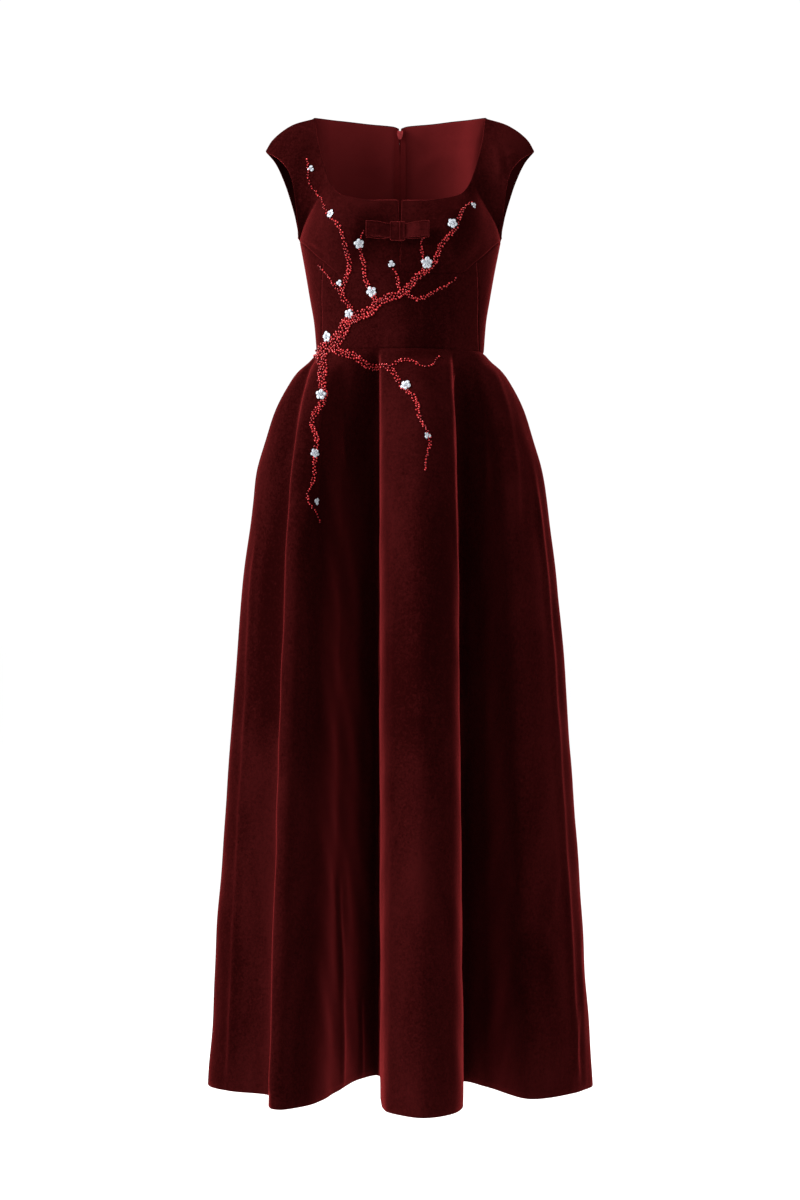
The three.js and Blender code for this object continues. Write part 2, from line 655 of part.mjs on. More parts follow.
function blossomOn(row, index, panels) {
  const ray = new THREE.Raycaster();
  const offWall = (x, z, lift) => {
    ray.set(new THREE.Vector3(x, -1000, z), new THREE.Vector3(0, 1, 0));
    const hit = ray.intersectObjects(panels)[0];
    return hit.point.clone().addScaledVector(hit.face.normal, lift);
  };
  const count = row.petals * blossom.spokes;
  const at = (share, k, lift) => {
    const turn = (k / count) * Math.PI * 2;
    const notch = 0.5 + 0.5 * Math.abs(Math.cos((turn * row.petals) / 2)) ** 0.6;
    const reach = row.radius * share * (share > 0.6 ? notch : 1);
    const angle = turn + radians(row.turn);
    return offWall(row.x + reach * Math.cos(angle), row.z + reach * Math.sin(angle), lift);
  };
  const points = [
    offWall(row.x, row.z, blossom.lift + blossom.heart),
    offWall(row.x, row.z, blossom.lift),
  ];
  const rings = [[0.55, blossom.dome], [1, blossom.edge], [0.97, 0]];
  rings.forEach(([share, lift]) => {
    for (let k = 0; k < count; k += 1) points.push(at(share, k, blossom.lift + lift));
  });
  const ringStart = (r) => 2 + r * count;
  const faces = [];
  for (let k = 0; k < count; k += 1) {
    const n = (k + 1) % count;
    faces.push(0, ringStart(0) + k, ringStart(0) + n);
    for (let r = 0; r < rings.length - 1; r += 1) {
      const [a, b, c, d] = [ringStart(r) + k, ringStart(r + 1) + k, ringStart(r + 1) + n, ringStart(r) + n];
      faces.push(a, b, c, a, c, d);
    }
    faces.push(1, ringStart(2) + n, ringStart(2) + k);
  }
  return solid(`blossom_${String(index + 1).padStart(2, '0')}`, points, faces, pearl);
}

const dress = new THREE.Group();
const bust = bustPanel();
const back = backPanel();
const skirt = skirtGrid();
const midriffSide = midriff(princessTop, princessWaist, 90, 90, sideColumns);
const midriffFront = midriff(-princessTop, -princessWaist, princessTop, princessWaist, midriffColumns);
const panels = [
  cloth('bust_left', bust, velvet),
  cloth('bust_right', mirrored(bust), velvet),
  cloth('midriff_front', midriffFront, velvet),
  cloth('midriff_side_left', midriffSide, velvet),
  cloth('midriff_side_right', mirrored(midriffSide), velvet),
  cloth('skirt_front', skirtPanel(skirt, columnOf('rightSide'), columnOf('leftSide')), velvet),
];
dress.add(
  ...panels,
  cloth('back_left', back, velvet),
  cloth('back_right', mirrored(back), velvet),
  cloth('skirt_back_left', skirtPanel(skirt, columnOf('leftSide'), columnOf('centreBack')), velvet),
  cloth('skirt_back_right', skirtPanel(skirt, columnOf('centreBack'), columnOf('rightSide')), velvet),
  cloth('zip_tape_left', zipTape(), zipCloth, zip.tape),
  cloth('zip_tape_right', mirrored(zipTape()), zipCloth, zip.tape),
);
blossomRows.forEach((row, index) => dress.add(blossomOn(row, index, panels)));

// The slider stands square to the back, which leans out below the neck
const zipGroup = new THREE.Group();
const lean = (centreBack(zip.sliderAt - 5) - centreBack(zip.sliderAt + 5)) / 10;
zipGroup.position.set(0, centreBack(zip.sliderAt), zip.sliderAt);
zipGroup.rotation.x = Math.atan(lean);
zipGroup.add(zipSlider(), zipPull());
dress.add(zipGroup);

const bowGroup = new THREE.Group();
bowGroup.position.set(bow.x, curve(slitRows)(0.43).y - bow.clear, bow.z);
bowGroup.rotation.x = radians(bow.lean);
bowGroup.add(
  cloth('bow_left', bowLoop(), satin, bow.band, true),
  cloth('bow_right', mirrored(bowLoop()), satin, bow.band, true),
  cloth('bow_knot', bowKnot(), satin, bow.band, true),
);
dress.add(bowGroup);

export default dress;
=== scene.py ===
# Full-length A-line velvet dress in its worn, hollow form: fine cloth over the CAD solids.
# Metres, +Z up. The front faces -Y and the wearer's left is +X. Cut tables are in millimetres.
import math

import bpy
import numpy as np
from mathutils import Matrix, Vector
from mathutils.bvhtree import BVHTree


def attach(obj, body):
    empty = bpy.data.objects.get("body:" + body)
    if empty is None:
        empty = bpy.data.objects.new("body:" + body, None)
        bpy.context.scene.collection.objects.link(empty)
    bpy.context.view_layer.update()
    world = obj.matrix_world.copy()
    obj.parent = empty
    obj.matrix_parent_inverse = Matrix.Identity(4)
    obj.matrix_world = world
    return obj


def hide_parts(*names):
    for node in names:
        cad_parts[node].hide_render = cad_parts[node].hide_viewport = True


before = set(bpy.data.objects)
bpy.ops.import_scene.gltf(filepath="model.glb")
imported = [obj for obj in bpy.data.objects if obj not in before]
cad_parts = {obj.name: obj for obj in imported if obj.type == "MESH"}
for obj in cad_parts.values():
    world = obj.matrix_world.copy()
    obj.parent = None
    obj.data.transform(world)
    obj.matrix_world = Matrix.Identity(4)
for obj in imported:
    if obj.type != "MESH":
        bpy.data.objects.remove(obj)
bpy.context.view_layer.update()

mm = 0.001
dressBody = "dress"


# Camera, floor and light

photo = {"width": 800, "height": 1200, "mmPerPixel": 1.45, "horizonRow": 600, "shoulderRow": 118}
studio = {
    "distance": 4.0, "floor": -1.75, "floorReach": 60, "world": 1.04,
    "keyPower": 185, "keyPlace": (-3.1, -1.7, 1.7), "keySize": 1.4,
    "fillPower": 7, "fillPlace": (2.8, -3.0, 0.2), "fillSize": 2.0,
    "rimPower": 34, "rimPlace": (1.8, 2.6, 1.2), "rimSize": 1.4,
    "topPower": 120, "topPlace": (-2.7, -0.75, 1.0), "topSize": 1.0,
}


def newObject(name, data):
    obj = bpy.data.objects.new(name, data)
    bpy.context.collection.objects.link(obj)
    return obj


def makeCamera():
    frameHeight = photo["height"] * photo["mmPerPixel"] * mm
    data = bpy.data.cameras.new("camera")
    data.sensor_width = 36
    data.lens = data.sensor_width * studio["distance"] / frameHeight
    camera = newObject("camera", data)
    level = -(photo["horizonRow"] - photo["shoulderRow"]) * photo["mmPerPixel"] * mm
    camera.location = (0, -studio["distance"], level)
    camera.rotation_euler = (math.pi / 2, 0, 0)
    bpy.context.scene.camera = camera
    return level


def makeLight(name, place, power, size, target):
    data = bpy.data.lights.new(name, "AREA")
    data.energy = power
    data.size = size
    light = newObject(name, data)
    light.location = place
    light.rotation_euler = (Vector(target) - light.location).to_track_quat("-Z", "Y").to_euler()


def makeStudio(level):
    bpy.context.scene.view_settings.view_transform = "Standard"
    world = bpy.data.worlds.new("studio")
    bpy.context.scene.world = world
    world.use_nodes = True
    sky = world.node_tree.nodes["Background"]
    sky.inputs["Color"].default_value = (1, 1, 1, 1)
    sky.inputs["Strength"].default_value = studio["world"]
    for side in ("key", "fill", "rim", "top"):
        place, power, size = (studio[side + part] for part in ("Place", "Power", "Size"))
        makeLight(side, place, power, size, (0, 0, level))
    mesh = bpy.data.meshes.new("floor")
    reach = studio["floorReach"]
    corners = [(-reach, -reach), (reach, -reach), (reach, reach), (-reach, reach)]
    mesh.from_pydata([(x, y, studio["floor"]) for x, y in corners], [], [(0, 1, 2, 3)])
    floor = newObject("floor", mesh)
    mesh.materials.append(plainFinish("pale_floor", (0.97, 0.97, 0.97), 0.9))


# Small tools for shapes


def throughRows(rows, at, column=1):
    # Cubic through one column of a table by its first; its slope at a row is the harmonic mean of
    # the slopes on both sides, or none where they differ in sign, so it never overshoots a row
    rows = np.asarray(rows, float)
    if rows[-1, 0] < rows[0, 0]:
        rows = rows[::-1]
    keys, values = rows[:, 0], rows[:, column]
    steep = np.diff(values) / np.diff(keys)
    slope = np.zeros_like(values)
    slope[0], slope[-1] = steep[0], steep[-1]
    product = steep[:-1] * steep[1:]
    total = np.where(product > 0, steep[:-1] + steep[1:], 1)
    slope[1:-1] = np.where(product > 0, 2 * product / total, 0)
    at = np.clip(at, keys[0], keys[-1])
    i = np.clip(np.searchsorted(keys, at, side="left") - 1, 0, len(keys) - 2)
    span = keys[i + 1] - keys[i]
    t = (at - keys[i]) / span
    rise = t * t * (3 - 2 * t)
    hump = span * t * (1 - t)
    lean = hump * ((1 - t) * slope[i] - t * slope[i + 1])
    return values[i] * (1 - rise) + values[i + 1] * rise + lean


def alongPath(rows, at):
    # A point of a path whose rows are (place, x, y, z), each coordinate taken through the rows
    return np.stack([throughRows(rows, at, k) for k in (1, 2, 3)], axis=-1)


def smoothStep(x, low, high):
    # 0 below low, 1 above high and 3t^2 - 2t^3 between
    t = np.clip((x - low) / (high - low), 0, 1)
    return t * t * (3 - 2 * t)


def denseEnds(count, squeeze=0.72):
    # Places from 0 to 1 that crowd towards both ends: t - squeeze * sin(2 pi t) / 2 pi
    t = np.linspace(0, 1, count)
    return t - squeeze * np.sin(2 * np.pi * t) / (2 * np.pi)


def unit(v):
    return v / np.maximum(np.linalg.norm(v, axis=-1, keepdims=True), 1e-12)


def gridNormals(points, closed=False):
    # Cross product of the steps across and down a grid, by central differences
    down = np.gradient(points, axis=0)
    if closed:
        across = np.roll(points, -1, 1) - np.roll(points, 1, 1)
    else:
        across = np.gradient(points, axis=1)
    return unit(np.cross(across, down))


def runs(steps, axis=0):
    # Distance run along an axis from its start
    return np.insert(np.cumsum(steps, axis), 0, 0, axis)


def edgeRoll(points, seams, depth=0.9, width=1.6):
    # How far cloth dips beside each sewn edge: depth * exp(-(distance / width)^2), in millimetres
    dip = np.zeros(points.shape[:2])
    down, across = (np.linalg.norm(np.diff(points, axis=k), axis=-1) for k in (0, 1))
    reach = {
        "start": runs(across, 1), "end": runs(across[:, ::-1], 1)[:, ::-1],
        "top": runs(down), "bottom": runs(down[::-1])[::-1],
    }
    for edge in seams:
        dip = np.maximum(dip, depth * np.exp(-((reach[edge] / width) ** 2)))
    return dip


def shell(name, points, normals, thickness, closed=False, free=()):
    # Outer grid, the same grid moved in by the thickness, and a rim; a free edge's rim is
    # rounded by a row of points half way in, moved out by half the thickness
    rows, columns = points.shape[:2]
    outer = np.arange(rows * columns).reshape(rows, columns)
    inner = outer + rows * columns
    places = [points.reshape(-1, 3), (points - normals * thickness).reshape(-1, 3)]

    def weave(a):
        b = np.roll(a, -1, 1)
        if not closed:
            a, b = a[:, :-1], b[:, :-1]
        return np.stack([a[:-1], b[:-1], b[1:], a[1:]], -1).reshape(-1, 4)

    front, back, rim = weave(outer), weave(inner[:, ::-1]), []
    edges = {
        "top": (outer[0], inner[0], points[0] - points[1]),
        "bottom": (outer[-1][::-1], inner[-1][::-1], (points[-1] - points[-2])[::-1]),
    }
    if not closed:
        edges["start"] = (outer[::-1, 0], inner[::-1, 0], (points[:, 0] - points[:, 1])[::-1])
        edges["end"] = (outer[:, -1], inner[:, -1], points[:, -1] - points[:, -2])
    flatPoints = places[0]
    flatNormals = normals.reshape(-1, 3)
    count = 2 * rows * columns
    for edge, (a, b, away) in edges.items():
        bulge = thickness / 2 if edge in free else 0.0
        middle = flatPoints[a] - flatNormals[a] * thickness / 2 + unit(away) * bulge
        m = np.arange(count, count + len(a))
        count += len(a)
        places.append(middle)
        for p, q in ((a, m), (m, b)):
            if closed:
                p, q = np.append(p, p[0]), np.append(q, q[0])
            rim.append(np.stack([p[:-1], q[:-1], q[1:], p[1:]], -1))
    kinds = np.repeat([0, 1, 0], [len(front), len(back), sum(map(len, rim))])
    return meshOf(name, np.concatenate(places) * mm, np.concatenate([front, back, *rim]), kinds)


def meshOf(name, vertices, faces, kinds=None):
    # A smooth mesh object at the origin, in metres, with a material number per face
    mesh = bpy.data.meshes.new(name)
    mesh.from_pydata(vertices.tolist(), [], faces.tolist())
    if kinds is not None:
        mesh.polygons.foreach_set("material_index", np.asarray(kinds, np.int32))
    mesh.validate()
    mesh.shade_smooth()
    return newObject(name, mesh)


# Materials. An effect that several finishes share is a node group, built once. A feed is the
# (node, output) that an input is joined to.


def setUp(node, values, feeds):
    for key, value in values.items():
        node.inputs[key].default_value = value
    for key, (source, output) in feeds.items():
        node.id_data.links.new(source.outputs[output], node.inputs[key])
    return node


def addNode(nodes, kind, values=None, feeds=None, **settings):
    node = nodes.new("ShaderNode" + kind)
    for key, value in settings.items():
        setattr(node, key, value)
    return setUp(node, values or {}, feeds or {})


def blend(nodes, colours, share):
    # From the first colour to the second by the share
    values = {6 + k: (*colour, 1) for k, colour in enumerate(colours)}
    return addNode(nodes, "Mix", values, {0: share}, data_type="RGBA"), 2


def newMaterial(name):
    # A material with its nodes, its shader and the feed of its place on the object
    material = bpy.data.materials.new(name)
    material.use_nodes = True
    nodes = material.node_tree.nodes
    return material, nodes, nodes["Principled BSDF"], (addNode(nodes, "TexCoord"), "Object")


def plainFinish(name, colour, roughness):
    # Pale painted floor: one colour with a very faint cloudiness
    material, nodes, shader, place = newMaterial(name)
    cloud = addNode(nodes, "TexNoise", {"Scale": 0.8, "Detail": 2.0}, {"Vector": place})
    painted = blend(nodes, ([c * 0.99 for c in colour], colour), (cloud, "Fac"))
    setUp(shader, {"Roughness": roughness}, {"Base Color": painted})
    return material


def makeNapGroup():
    # Velvet nap: soft streaks where the pile was stroked, and the fine grain of the pile itself
    group = bpy.data.node_groups.new("nap", "ShaderNodeTree")
    group.interface.new_socket("Vector", in_out="INPUT", socket_type="NodeSocketVector")
    for label in ("Streak Scale", "Pile Scale", "Fleck"):
        group.interface.new_socket(label, in_out="INPUT", socket_type="NodeSocketFloat")
    for label in ("Streaks", "Pile"):
        group.interface.new_socket(label, in_out="OUTPUT", socket_type="NodeSocketFloat")
    nodes = group.nodes
    start = nodes.new("NodeGroupInput")
    place = (start, "Vector")
    stretch = addNode(nodes, "Mapping", {"Scale": (1.0, 1.0, 0.35)}, {"Vector": place})
    broad = addNode(nodes, "TexNoise", {"Detail": 3.0, "Roughness": 0.55, "Distortion": 0.6},
                    {"Vector": (stretch, "Vector"), "Scale": (start, "Streak Scale")})
    fine = addNode(nodes, "TexNoise", {"Detail": 2.0, "Roughness": 0.7},
                   {"Vector": place, "Scale": (start, "Pile Scale")})
    speck = addNode(nodes, "TexNoise", {"Scale": 300.0, "Detail": 2.0, "Distortion": 1.2},
                    {"Vector": place})
    contrast = addNode(nodes, "MapRange", {"From Min": 0.32, "From Max": 0.7}, {"Value": (broad, "Fac")})
    away = addNode(nodes, "Math", {1: 0.5}, {0: (speck, "Fac")}, operation="SUBTRACT")
    streaks = addNode(nodes, "Math", None, {0: (away, 0), 1: (start, "Fleck"), 2: (contrast, "Result")},
                      operation="MULTIPLY_ADD")
    setUp(nodes.new("NodeGroupOutput"), {}, {"Streaks": (streaks, 0), "Pile": (fine, "Fac")})
    return group


napGroup = makeNapGroup()

velvetLook = {
    "deep": (0.0075, 0.00063, 0.00068), "warm": (0.0215, 0.0021, 0.0022),
    "roughness": 0.85, "uneven": 0.08, "specular": 0.0,
    "sheen": 1.0, "sheenRoughness": 0.31, "sheenTint": (0.39, 0.0345, 0.0365),
    "streakScale": 9.0, "pileScale": 900.0, "fleck": 2.0, "bump": 0.5, "bumpHeight": 0.0006,
}
insideLook = dict(
    velvetLook, deep=(0.078, 0.0068, 0.0074), warm=(0.115, 0.0105, 0.0115),
    sheen=0.3, sheenTint=(0.4, 0.05, 0.05), fleck=0.5, streakScale=5.0, bump=0.3,
)
# Inside of the back panels with painted shade: darker towards the armholes and down the back, a colour
# standing in for shadow in the hollow dress
paintedShadeLook = dict(
    insideLook, deep=(0.074, 0.0064, 0.007), warm=(0.104, 0.0094, 0.0102),
    shade=(0.006, 0.0006, 0.0006), aside=(0.1, 0.15), down=(0.098, 0.165),
)
bandLook = dict(
    velvetLook, deep=(0.0095, 0.0008, 0.0009), warm=(0.025, 0.0024, 0.0026),
    sheenTint=(0.62, 0.06, 0.063), streakScale=30.0,
)
glossyLooks = {
    "red_glass": {"colours": ((0.18, 0.005, 0.007), (0.4, 0.022, 0.025)), "roughness": 0.16,
                  "scale": 420.0, "specular": 0.8, "glint": (1, 0.3, 0.31)},
    "dark_glass": {"colours": ((0.09, 0.003, 0.005), (0.18, 0.008, 0.01)), "roughness": 0.14,
                   "scale": 420.0, "specular": 0.8, "glint": (1, 0.25, 0.26)},
    "petal_white": {"colours": ((0.2, 0.225, 0.26), (0.47, 0.495, 0.53)), "roughness": 0.3,
                    "scale": 520.0, "coat": 0.2, "grain": 0.8},
    "red_enamel": {"colours": ((0.16, 0.01, 0.012), (0.25, 0.02, 0.022)), "roughness": 0.34,
                   "scale": 200.0, "metallic": 0.3, "specular": 0.2},
}
tapeLook = {
    "colours": ((0.045, 0.0034, 0.0038), (0.1, 0.0085, 0.009)), "roughness": 0.75, "threads": 1400.0,
}


def shaded(nodes, place, colour, look):
    # Painted shade: the inside goes over to a dark shade colour towards the armholes and down the body,
    # where shade falls inside the hollow dress; the larger of two shares, one from the distance to x = 0
    # and one from the depth below the shoulders
    parts = addNode(nodes, "SeparateXYZ", None, {0: place})
    shares = {}
    for slot, (axis, key) in enumerate((("X", "aside"), ("Z", "down"))):
        near, far = look[key]
        size = addNode(nodes, "Math", None, {0: (parts, axis)}, operation="ABSOLUTE")
        share = addNode(nodes, "MapRange", {"From Min": near, "From Max": far}, {"Value": (size, 0)})
        shares[slot] = (share, "Result")
    larger = addNode(nodes, "Math", None, shares, operation="MAXIMUM")
    shade = {7: (*look["shade"], 1)}
    return addNode(nodes, "Mix", shade, {0: (larger, 0), 6: colour}, data_type="RGBA"), 2


def velvet(name, look):
    # Colour between two depths of the dye by the nap's streaks; sheen brightens it at the edges
    material, nodes, shader, place = newMaterial(name)
    nap = addNode(nodes, "Group", node_tree=napGroup)
    setUp(nap, {
        "Streak Scale": look["streakScale"], "Pile Scale": look["pileScale"], "Fleck": look["fleck"],
    }, {"Vector": place})
    streaks = (nap, "Streaks")
    colour = blend(nodes, (look["deep"], look["warm"]), streaks)
    # Painted shade, for looks that give one
    if "shade" in look:
        colour = shaded(nodes, place, colour, look)
    spread = {"To Min": look["roughness"] - look["uneven"], "To Max": look["roughness"] + look["uneven"]}
    rough = addNode(nodes, "MapRange", spread, {"Value": streaks})
    bump = addNode(nodes, "Bump", {"Strength": look["bump"], "Distance": look["bumpHeight"]},
                   {"Height": (nap, "Pile")})
    setUp(shader, {
        "Specular IOR Level": look["specular"], "Sheen Weight": look["sheen"],
        "Sheen Roughness": look["sheenRoughness"], "Sheen Tint": (*look["sheenTint"], 1),
    }, {"Base Color": colour, "Roughness": (rough, "Result"), "Normal": (bump, "Normal")})
    return material


def glossy(name, colours, roughness, scale, metallic=0.0, specular=0.5, coat=0.0, grain=0.0,
           glint=(1, 1, 1)):
    # Two close colours mottled by a noise of the given scale, for glass, enamel and petals; the
    # grain is the strength of small bumps of that same noise, the glint colours the reflections
    material, nodes, shader, place = newMaterial(name)
    mottle = addNode(nodes, "TexNoise", {"Scale": scale, "Detail": 1.0}, {"Vector": place})
    spread = addNode(nodes, "MapRange", {"From Min": 0.38, "From Max": 0.62}, {"Value": (mottle, "Fac")})
    feeds = {"Base Color": blend(nodes, colours, (spread, "Result"))}
    if grain:
        bump = addNode(nodes, "Bump", {"Strength": grain, "Distance": 0.0006},
                       {"Height": (mottle, "Fac")})
        feeds["Normal"] = (bump, "Normal")
    setUp(shader, {
        "Roughness": roughness, "Metallic": metallic, "Specular IOR Level": specular,
        "Specular Tint": (*glint, 1), "Coat Weight": coat,
    }, feeds)
    return material


def wovenTape(name, look, shadeLook):
    # Narrow woven tape: fine ribs across it, as two crossed waves, with painted shade towards the sides
    # and down the body
    material, nodes, shader, place = newMaterial(name)
    waves = {"Scale": look["threads"] / 6.28, "Distortion": 0.4}
    ribs, warp = (addNode(nodes, "TexWave", waves, {"Vector": place}, bands_direction=axis)
                  for axis in "ZX")
    cross = addNode(nodes, "Math", None, {0: (ribs, "Fac"), 1: (warp, "Fac")}, operation="MULTIPLY")
    tint = blend(nodes, look["colours"], (cross, 0))
    bump = addNode(nodes, "Bump", {"Strength": 0.5, "Distance": 0.0002}, {"Height": (cross, 0)})
    setUp(shader, {"Roughness": look["roughness"], "Specular IOR Level": 0.0},
          {"Base Color": shaded(nodes, place, tint, shadeLook), "Normal": (bump, "Normal")})
    return material


velvetFace = velvet("velvet_face", velvetLook)
velvetBack = velvet("velvet_back", insideLook)
paintedShadeBack = velvet("velvet_facing", paintedShadeLook)
bandVelvet = velvet("band_velvet", bandLook)
redGlass, darkGlass, petalWhite, redEnamel = (glossy(name, **look) for name, look in glossyLooks.items())
# The zip tapes take the same painted shade as the inside of the back panels
tapeCloth = wovenTape("tape_cloth", tapeLook, paintedShadeLook)
print("materials ready")


def finish(piece, node, materials, body=dressBody):
    # Gives a piece its materials and its body, and hides the CAD node that it stands for
    for material in materials:
        piece.data.materials.append(material)
    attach(piece, body)
    if node:
        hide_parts(*([node] if isinstance(node, str) else node))


# Bodice: the sections, edges and cups of the cut, in millimetres

bodice = {
    "wall": 2.0, "gap": 0.05, "waist": -342.0, "underarm": -179.0,
    "sections": [
        # height, half width, front depth, back depth
        (-179, 146, 113, 94), (-220, 138, 105, 91), (-264, 130.5, 97, 88), (-300, 124.5, 93, 86.5),
        (-342, 121, 91, 86),
    ],
    "underbust": [(0, -237), (40, -234), (52, -217), (76, -186), (90, -179)],
    "shoulder": [(0, 124.5, 0, 0), (0.35, 152, 0, -8), (0.6, 169.5, 0, -17.5), (0.85, 187, 0, -33),
                 (1, 195.5, 0, -47.5)],
    "princessTop": 52.5, "princessWaist": 70,
}
bustCut = {
    "armholeStart": 0.5, "forward": 27.0, "cup": (82, -174), "cupWidth": 46, "cupHeight": 50,
    "neckline": [(0, 3.6, -84, -131.5), (0.14, 36, -84.5, -131.5), (0.28, 68, -82, -127),
                 (0.38, 87, -76, -120.5), (0.48, 99.5, -66, -106), (0.6, 107, -53, -86),
                 (0.8, 118.5, -25, -41), (1, 124.5, 0, 0)],
    "armhole": [(0.5, 146, 0, -179), (0.58, 146.5, -22, -164), (0.68, 148.5, -37, -140),
                (0.78, 152, -42, -110), (0.86, 158.5, -37, -85), (0.93, 173, -22, -64),
                (1, 195.5, 0, -47.5)],
    "slit": [(0, 3.6, -84, -131.5), (0.35, 2.4, -96, -168), (0.7, 1.9, -103, -205),
             (1, 0.08, -101.5, -237)],
    # creases: from x, z to x, z, depth and width; negative depth is a trough
    "left": [
        (72, -142, 96, -168, 1.4, 6), (104, -112, 128, -166, -1.2, 7), (132, -36, 138, -104, 1.5, 6),
        (144, -40, 151, -96, -1.4, 6), (150, -60, 171, -58, 1.2, 5), (118, -186, 92, -222, -1.1, 6),
        (44, -196, 74, -222, 0.9, 7), (112, -20, 118, -80, -0.8, 8), (24, -140, 40, -150, -0.6, 5),
    ],
    "right": [
        (-92, -138, -98, -176, 1.3, 6), (-78, -150, -66, -186, -1.0, 7),
        (-124, -60, -132, -140, -1.1, 7), (-136, -30, -150, -70, 1.2, 7),
        (-140, -178, -112, -206, 1.6, 5), (-134, -190, -104, -220, -1.6, 5),
        (-116, -150, -128, -182, -0.9, 6), (-40, -150, -30, -196, 0.7, 8),
        (-168, -36, -160, -66, -0.8, 6),
    ],
}
backCut = {
    "slot": 0.15, "sliderSlot": 1.35, "neckEnd": 0.6, "armholeStart": 0.48,
    "bladeForward": 15.0, "blade": (85, -120), "bladeWidth": 60, "bladeHeight": 75,
    "neck": [(0, 1.35, 51, -7.5), (0.05, 10, 50, -4.6), (0.2, 42, 46, -2), (0.42, 90, 27, 0.3),
             (0.6, 124.5, 0, 0)],
    "armhole": [(0.48, 146, 0, -179), (0.56, 148, 20, -164), (0.67, 153, 36, -140), (0.78, 162, 40, -108),
                (0.88, 172, 33, -81), (0.95, 182.5, 18, -61), (1, 195.5, 0, -47.5)],
    "centre": [(-5, 50), (-60, 73), (-125, 90), (-179, 94), (-220, 91), (-264, 88), (-342, 86)],
    "left": [
        (64, -320, 110, -326, -1.3, 7), (56, -292, 100, -306, -1.0, 8), (126, -196, 138, -246, -1.1, 8),
        (40, -180, 54, -300, 1.1, 9), (96, -52, 122, -116, -1.0, 10), (30, -62, 74, -44, -0.7, 9),
        (146, -70, 156, -130, 1.1, 7), (14, -250, 40, -318, -0.9, 7),
    ],
    "right": [
        (-70, -312, -112, -322, -1.4, 7), (-48, -284, -88, -298, 1.0, 8),
        (-122, -186, -140, -232, 1.2, 7), (-46, -170, -60, -282, -1.0, 9),
        (-100, -60, -116, -128, 1.0, 9), (-24, -50, -66, -58, -0.8, 8),
        (-150, -60, -146, -126, -1.1, 7), (-18, -226, -34, -300, 0.8, 8),
    ],
}
midriffCut = {
    "creases": [
        (-84, -322, -40, -330, -1.0, 6), (30, -318, 88, -326, -0.9, 6), (-96, -268, -62, -284, -0.7, 8),
        (60, -262, 92, -276, -0.7, 7), (-20, -298, 26, -304, -0.5, 8),
    ],
}


def torso(angle, z):
    # Section at a height: x = side * sin(angle), y = -depth * cos(angle), and its level normal
    side, front, back = (throughRows(bodice["sections"], z, k) for k in (1, 2, 3))
    turn = np.radians(angle)
    depth = np.where(np.cos(turn) > 0, front, back)
    point = np.stack([side * np.sin(turn), -depth * np.cos(turn), z + 0 * turn], -1)
    out = np.stack([np.sin(turn) / side, -np.cos(turn) / depth, 0 * turn], -1)
    return point, unit(out)


def bellCurve(points, centre, width, height):
    # exp(-(dx / width)^2 - (dz / height)^2) about a centre seen from the front
    return np.exp(-((points[..., 0] - centre[0]) / width) ** 2
                  - ((points[..., 2] - centre[1]) / height) ** 2)


def underbust(angle):
    return throughRows(bodice["underbust"], np.abs(angle))


def patch(top, bottom, start, end, s, t):
    # Coons patch: the two ruled surfaces between opposite edges, less the one through the corners
    s, t = s[None, :, None], t[:, None, None]
    ruled = (1 - t) * top[None] + t * bottom[None] + (1 - s) * start[:, None] + s * end[:, None]
    corners = ((1 - s) * (1 - t) * top[0] + s * (1 - t) * top[-1]
               + (1 - s) * t * bottom[0] + s * t * bottom[-1])
    return ruled - corners


def creased(points, normals, creases):
    # Moves points along their normals by depth * exp(-(d / width)^2), where d is the distance from
    # the crease's line in the x, z view, and the ends of the line fade over the same width
    x, z = points[..., 0], points[..., 2]
    move = np.zeros(x.shape)
    for x0, z0, x1, z1, depth, width in creases:
        along = np.array([x1 - x0, z1 - z0], float)
        length = np.linalg.norm(along)
        along /= length
        t = np.clip((x - x0) * along[0] + (z - z0) * along[1], 0, length)
        bend = 0.12 * length * np.sin(np.pi * t / length)
        cx = x0 + t * along[0] - bend * along[1]
        cz = z0 + t * along[1] + bend * along[0]
        fade = np.sin(np.pi * np.clip(t / length, 0.04, 0.96)) ** 0.7
        move += depth * fade * np.exp(-((x - cx) ** 2 + (z - cz) ** 2) / width ** 2)
    return points + normals * move[..., None]


unevenness = {"seed": 11, "waves": 12, "size": 80, "bodice": 1.3, "skirt": 3.0}


def softWaves(points, normals, height):
    # Slow unevenness of hanging cloth: seeded sine waves through space, the same over every panel
    # so that two panels agree at their seam
    draw = np.random.default_rng(unevenness["seed"])
    move = np.zeros(points.shape[:2])
    for _ in range(unevenness["waves"]):
        direction = unit(draw.normal(size=3) * np.array([1, 1, 0.6]))
        wave = 2 * np.pi / (unevenness["size"] * draw.uniform(0.6, 2.0))
        move += np.sin(points @ direction * wave + draw.uniform(0, 2 * np.pi))
    move *= height / unevenness["waves"]
    return points + normals * move[..., None]


def worn(points, normals, side, cut):
    # The panel on its own side of the body, with that side's creases and the slow unevenness
    if side < 0:
        points, normals = mirror(points), mirror(normals)
    points = creased(points, normals, cut["left" if side > 0 else "right"])
    return softWaves(points, normals, unevenness["bodice"]), normals


def shoulderUp(t):
    ahead, behind = (alongPath(bodice["shoulder"], at) for at in (np.minimum(t + 0.05, 1),
                                                                  np.maximum(t - 0.05, 0)))
    slope = ahead - behind
    return unit(np.stack([-slope[..., 2], 0 * t, slope[..., 0]], -1))


def mirror(grid):
    return grid * np.array([-1.0, 1.0, 1.0])


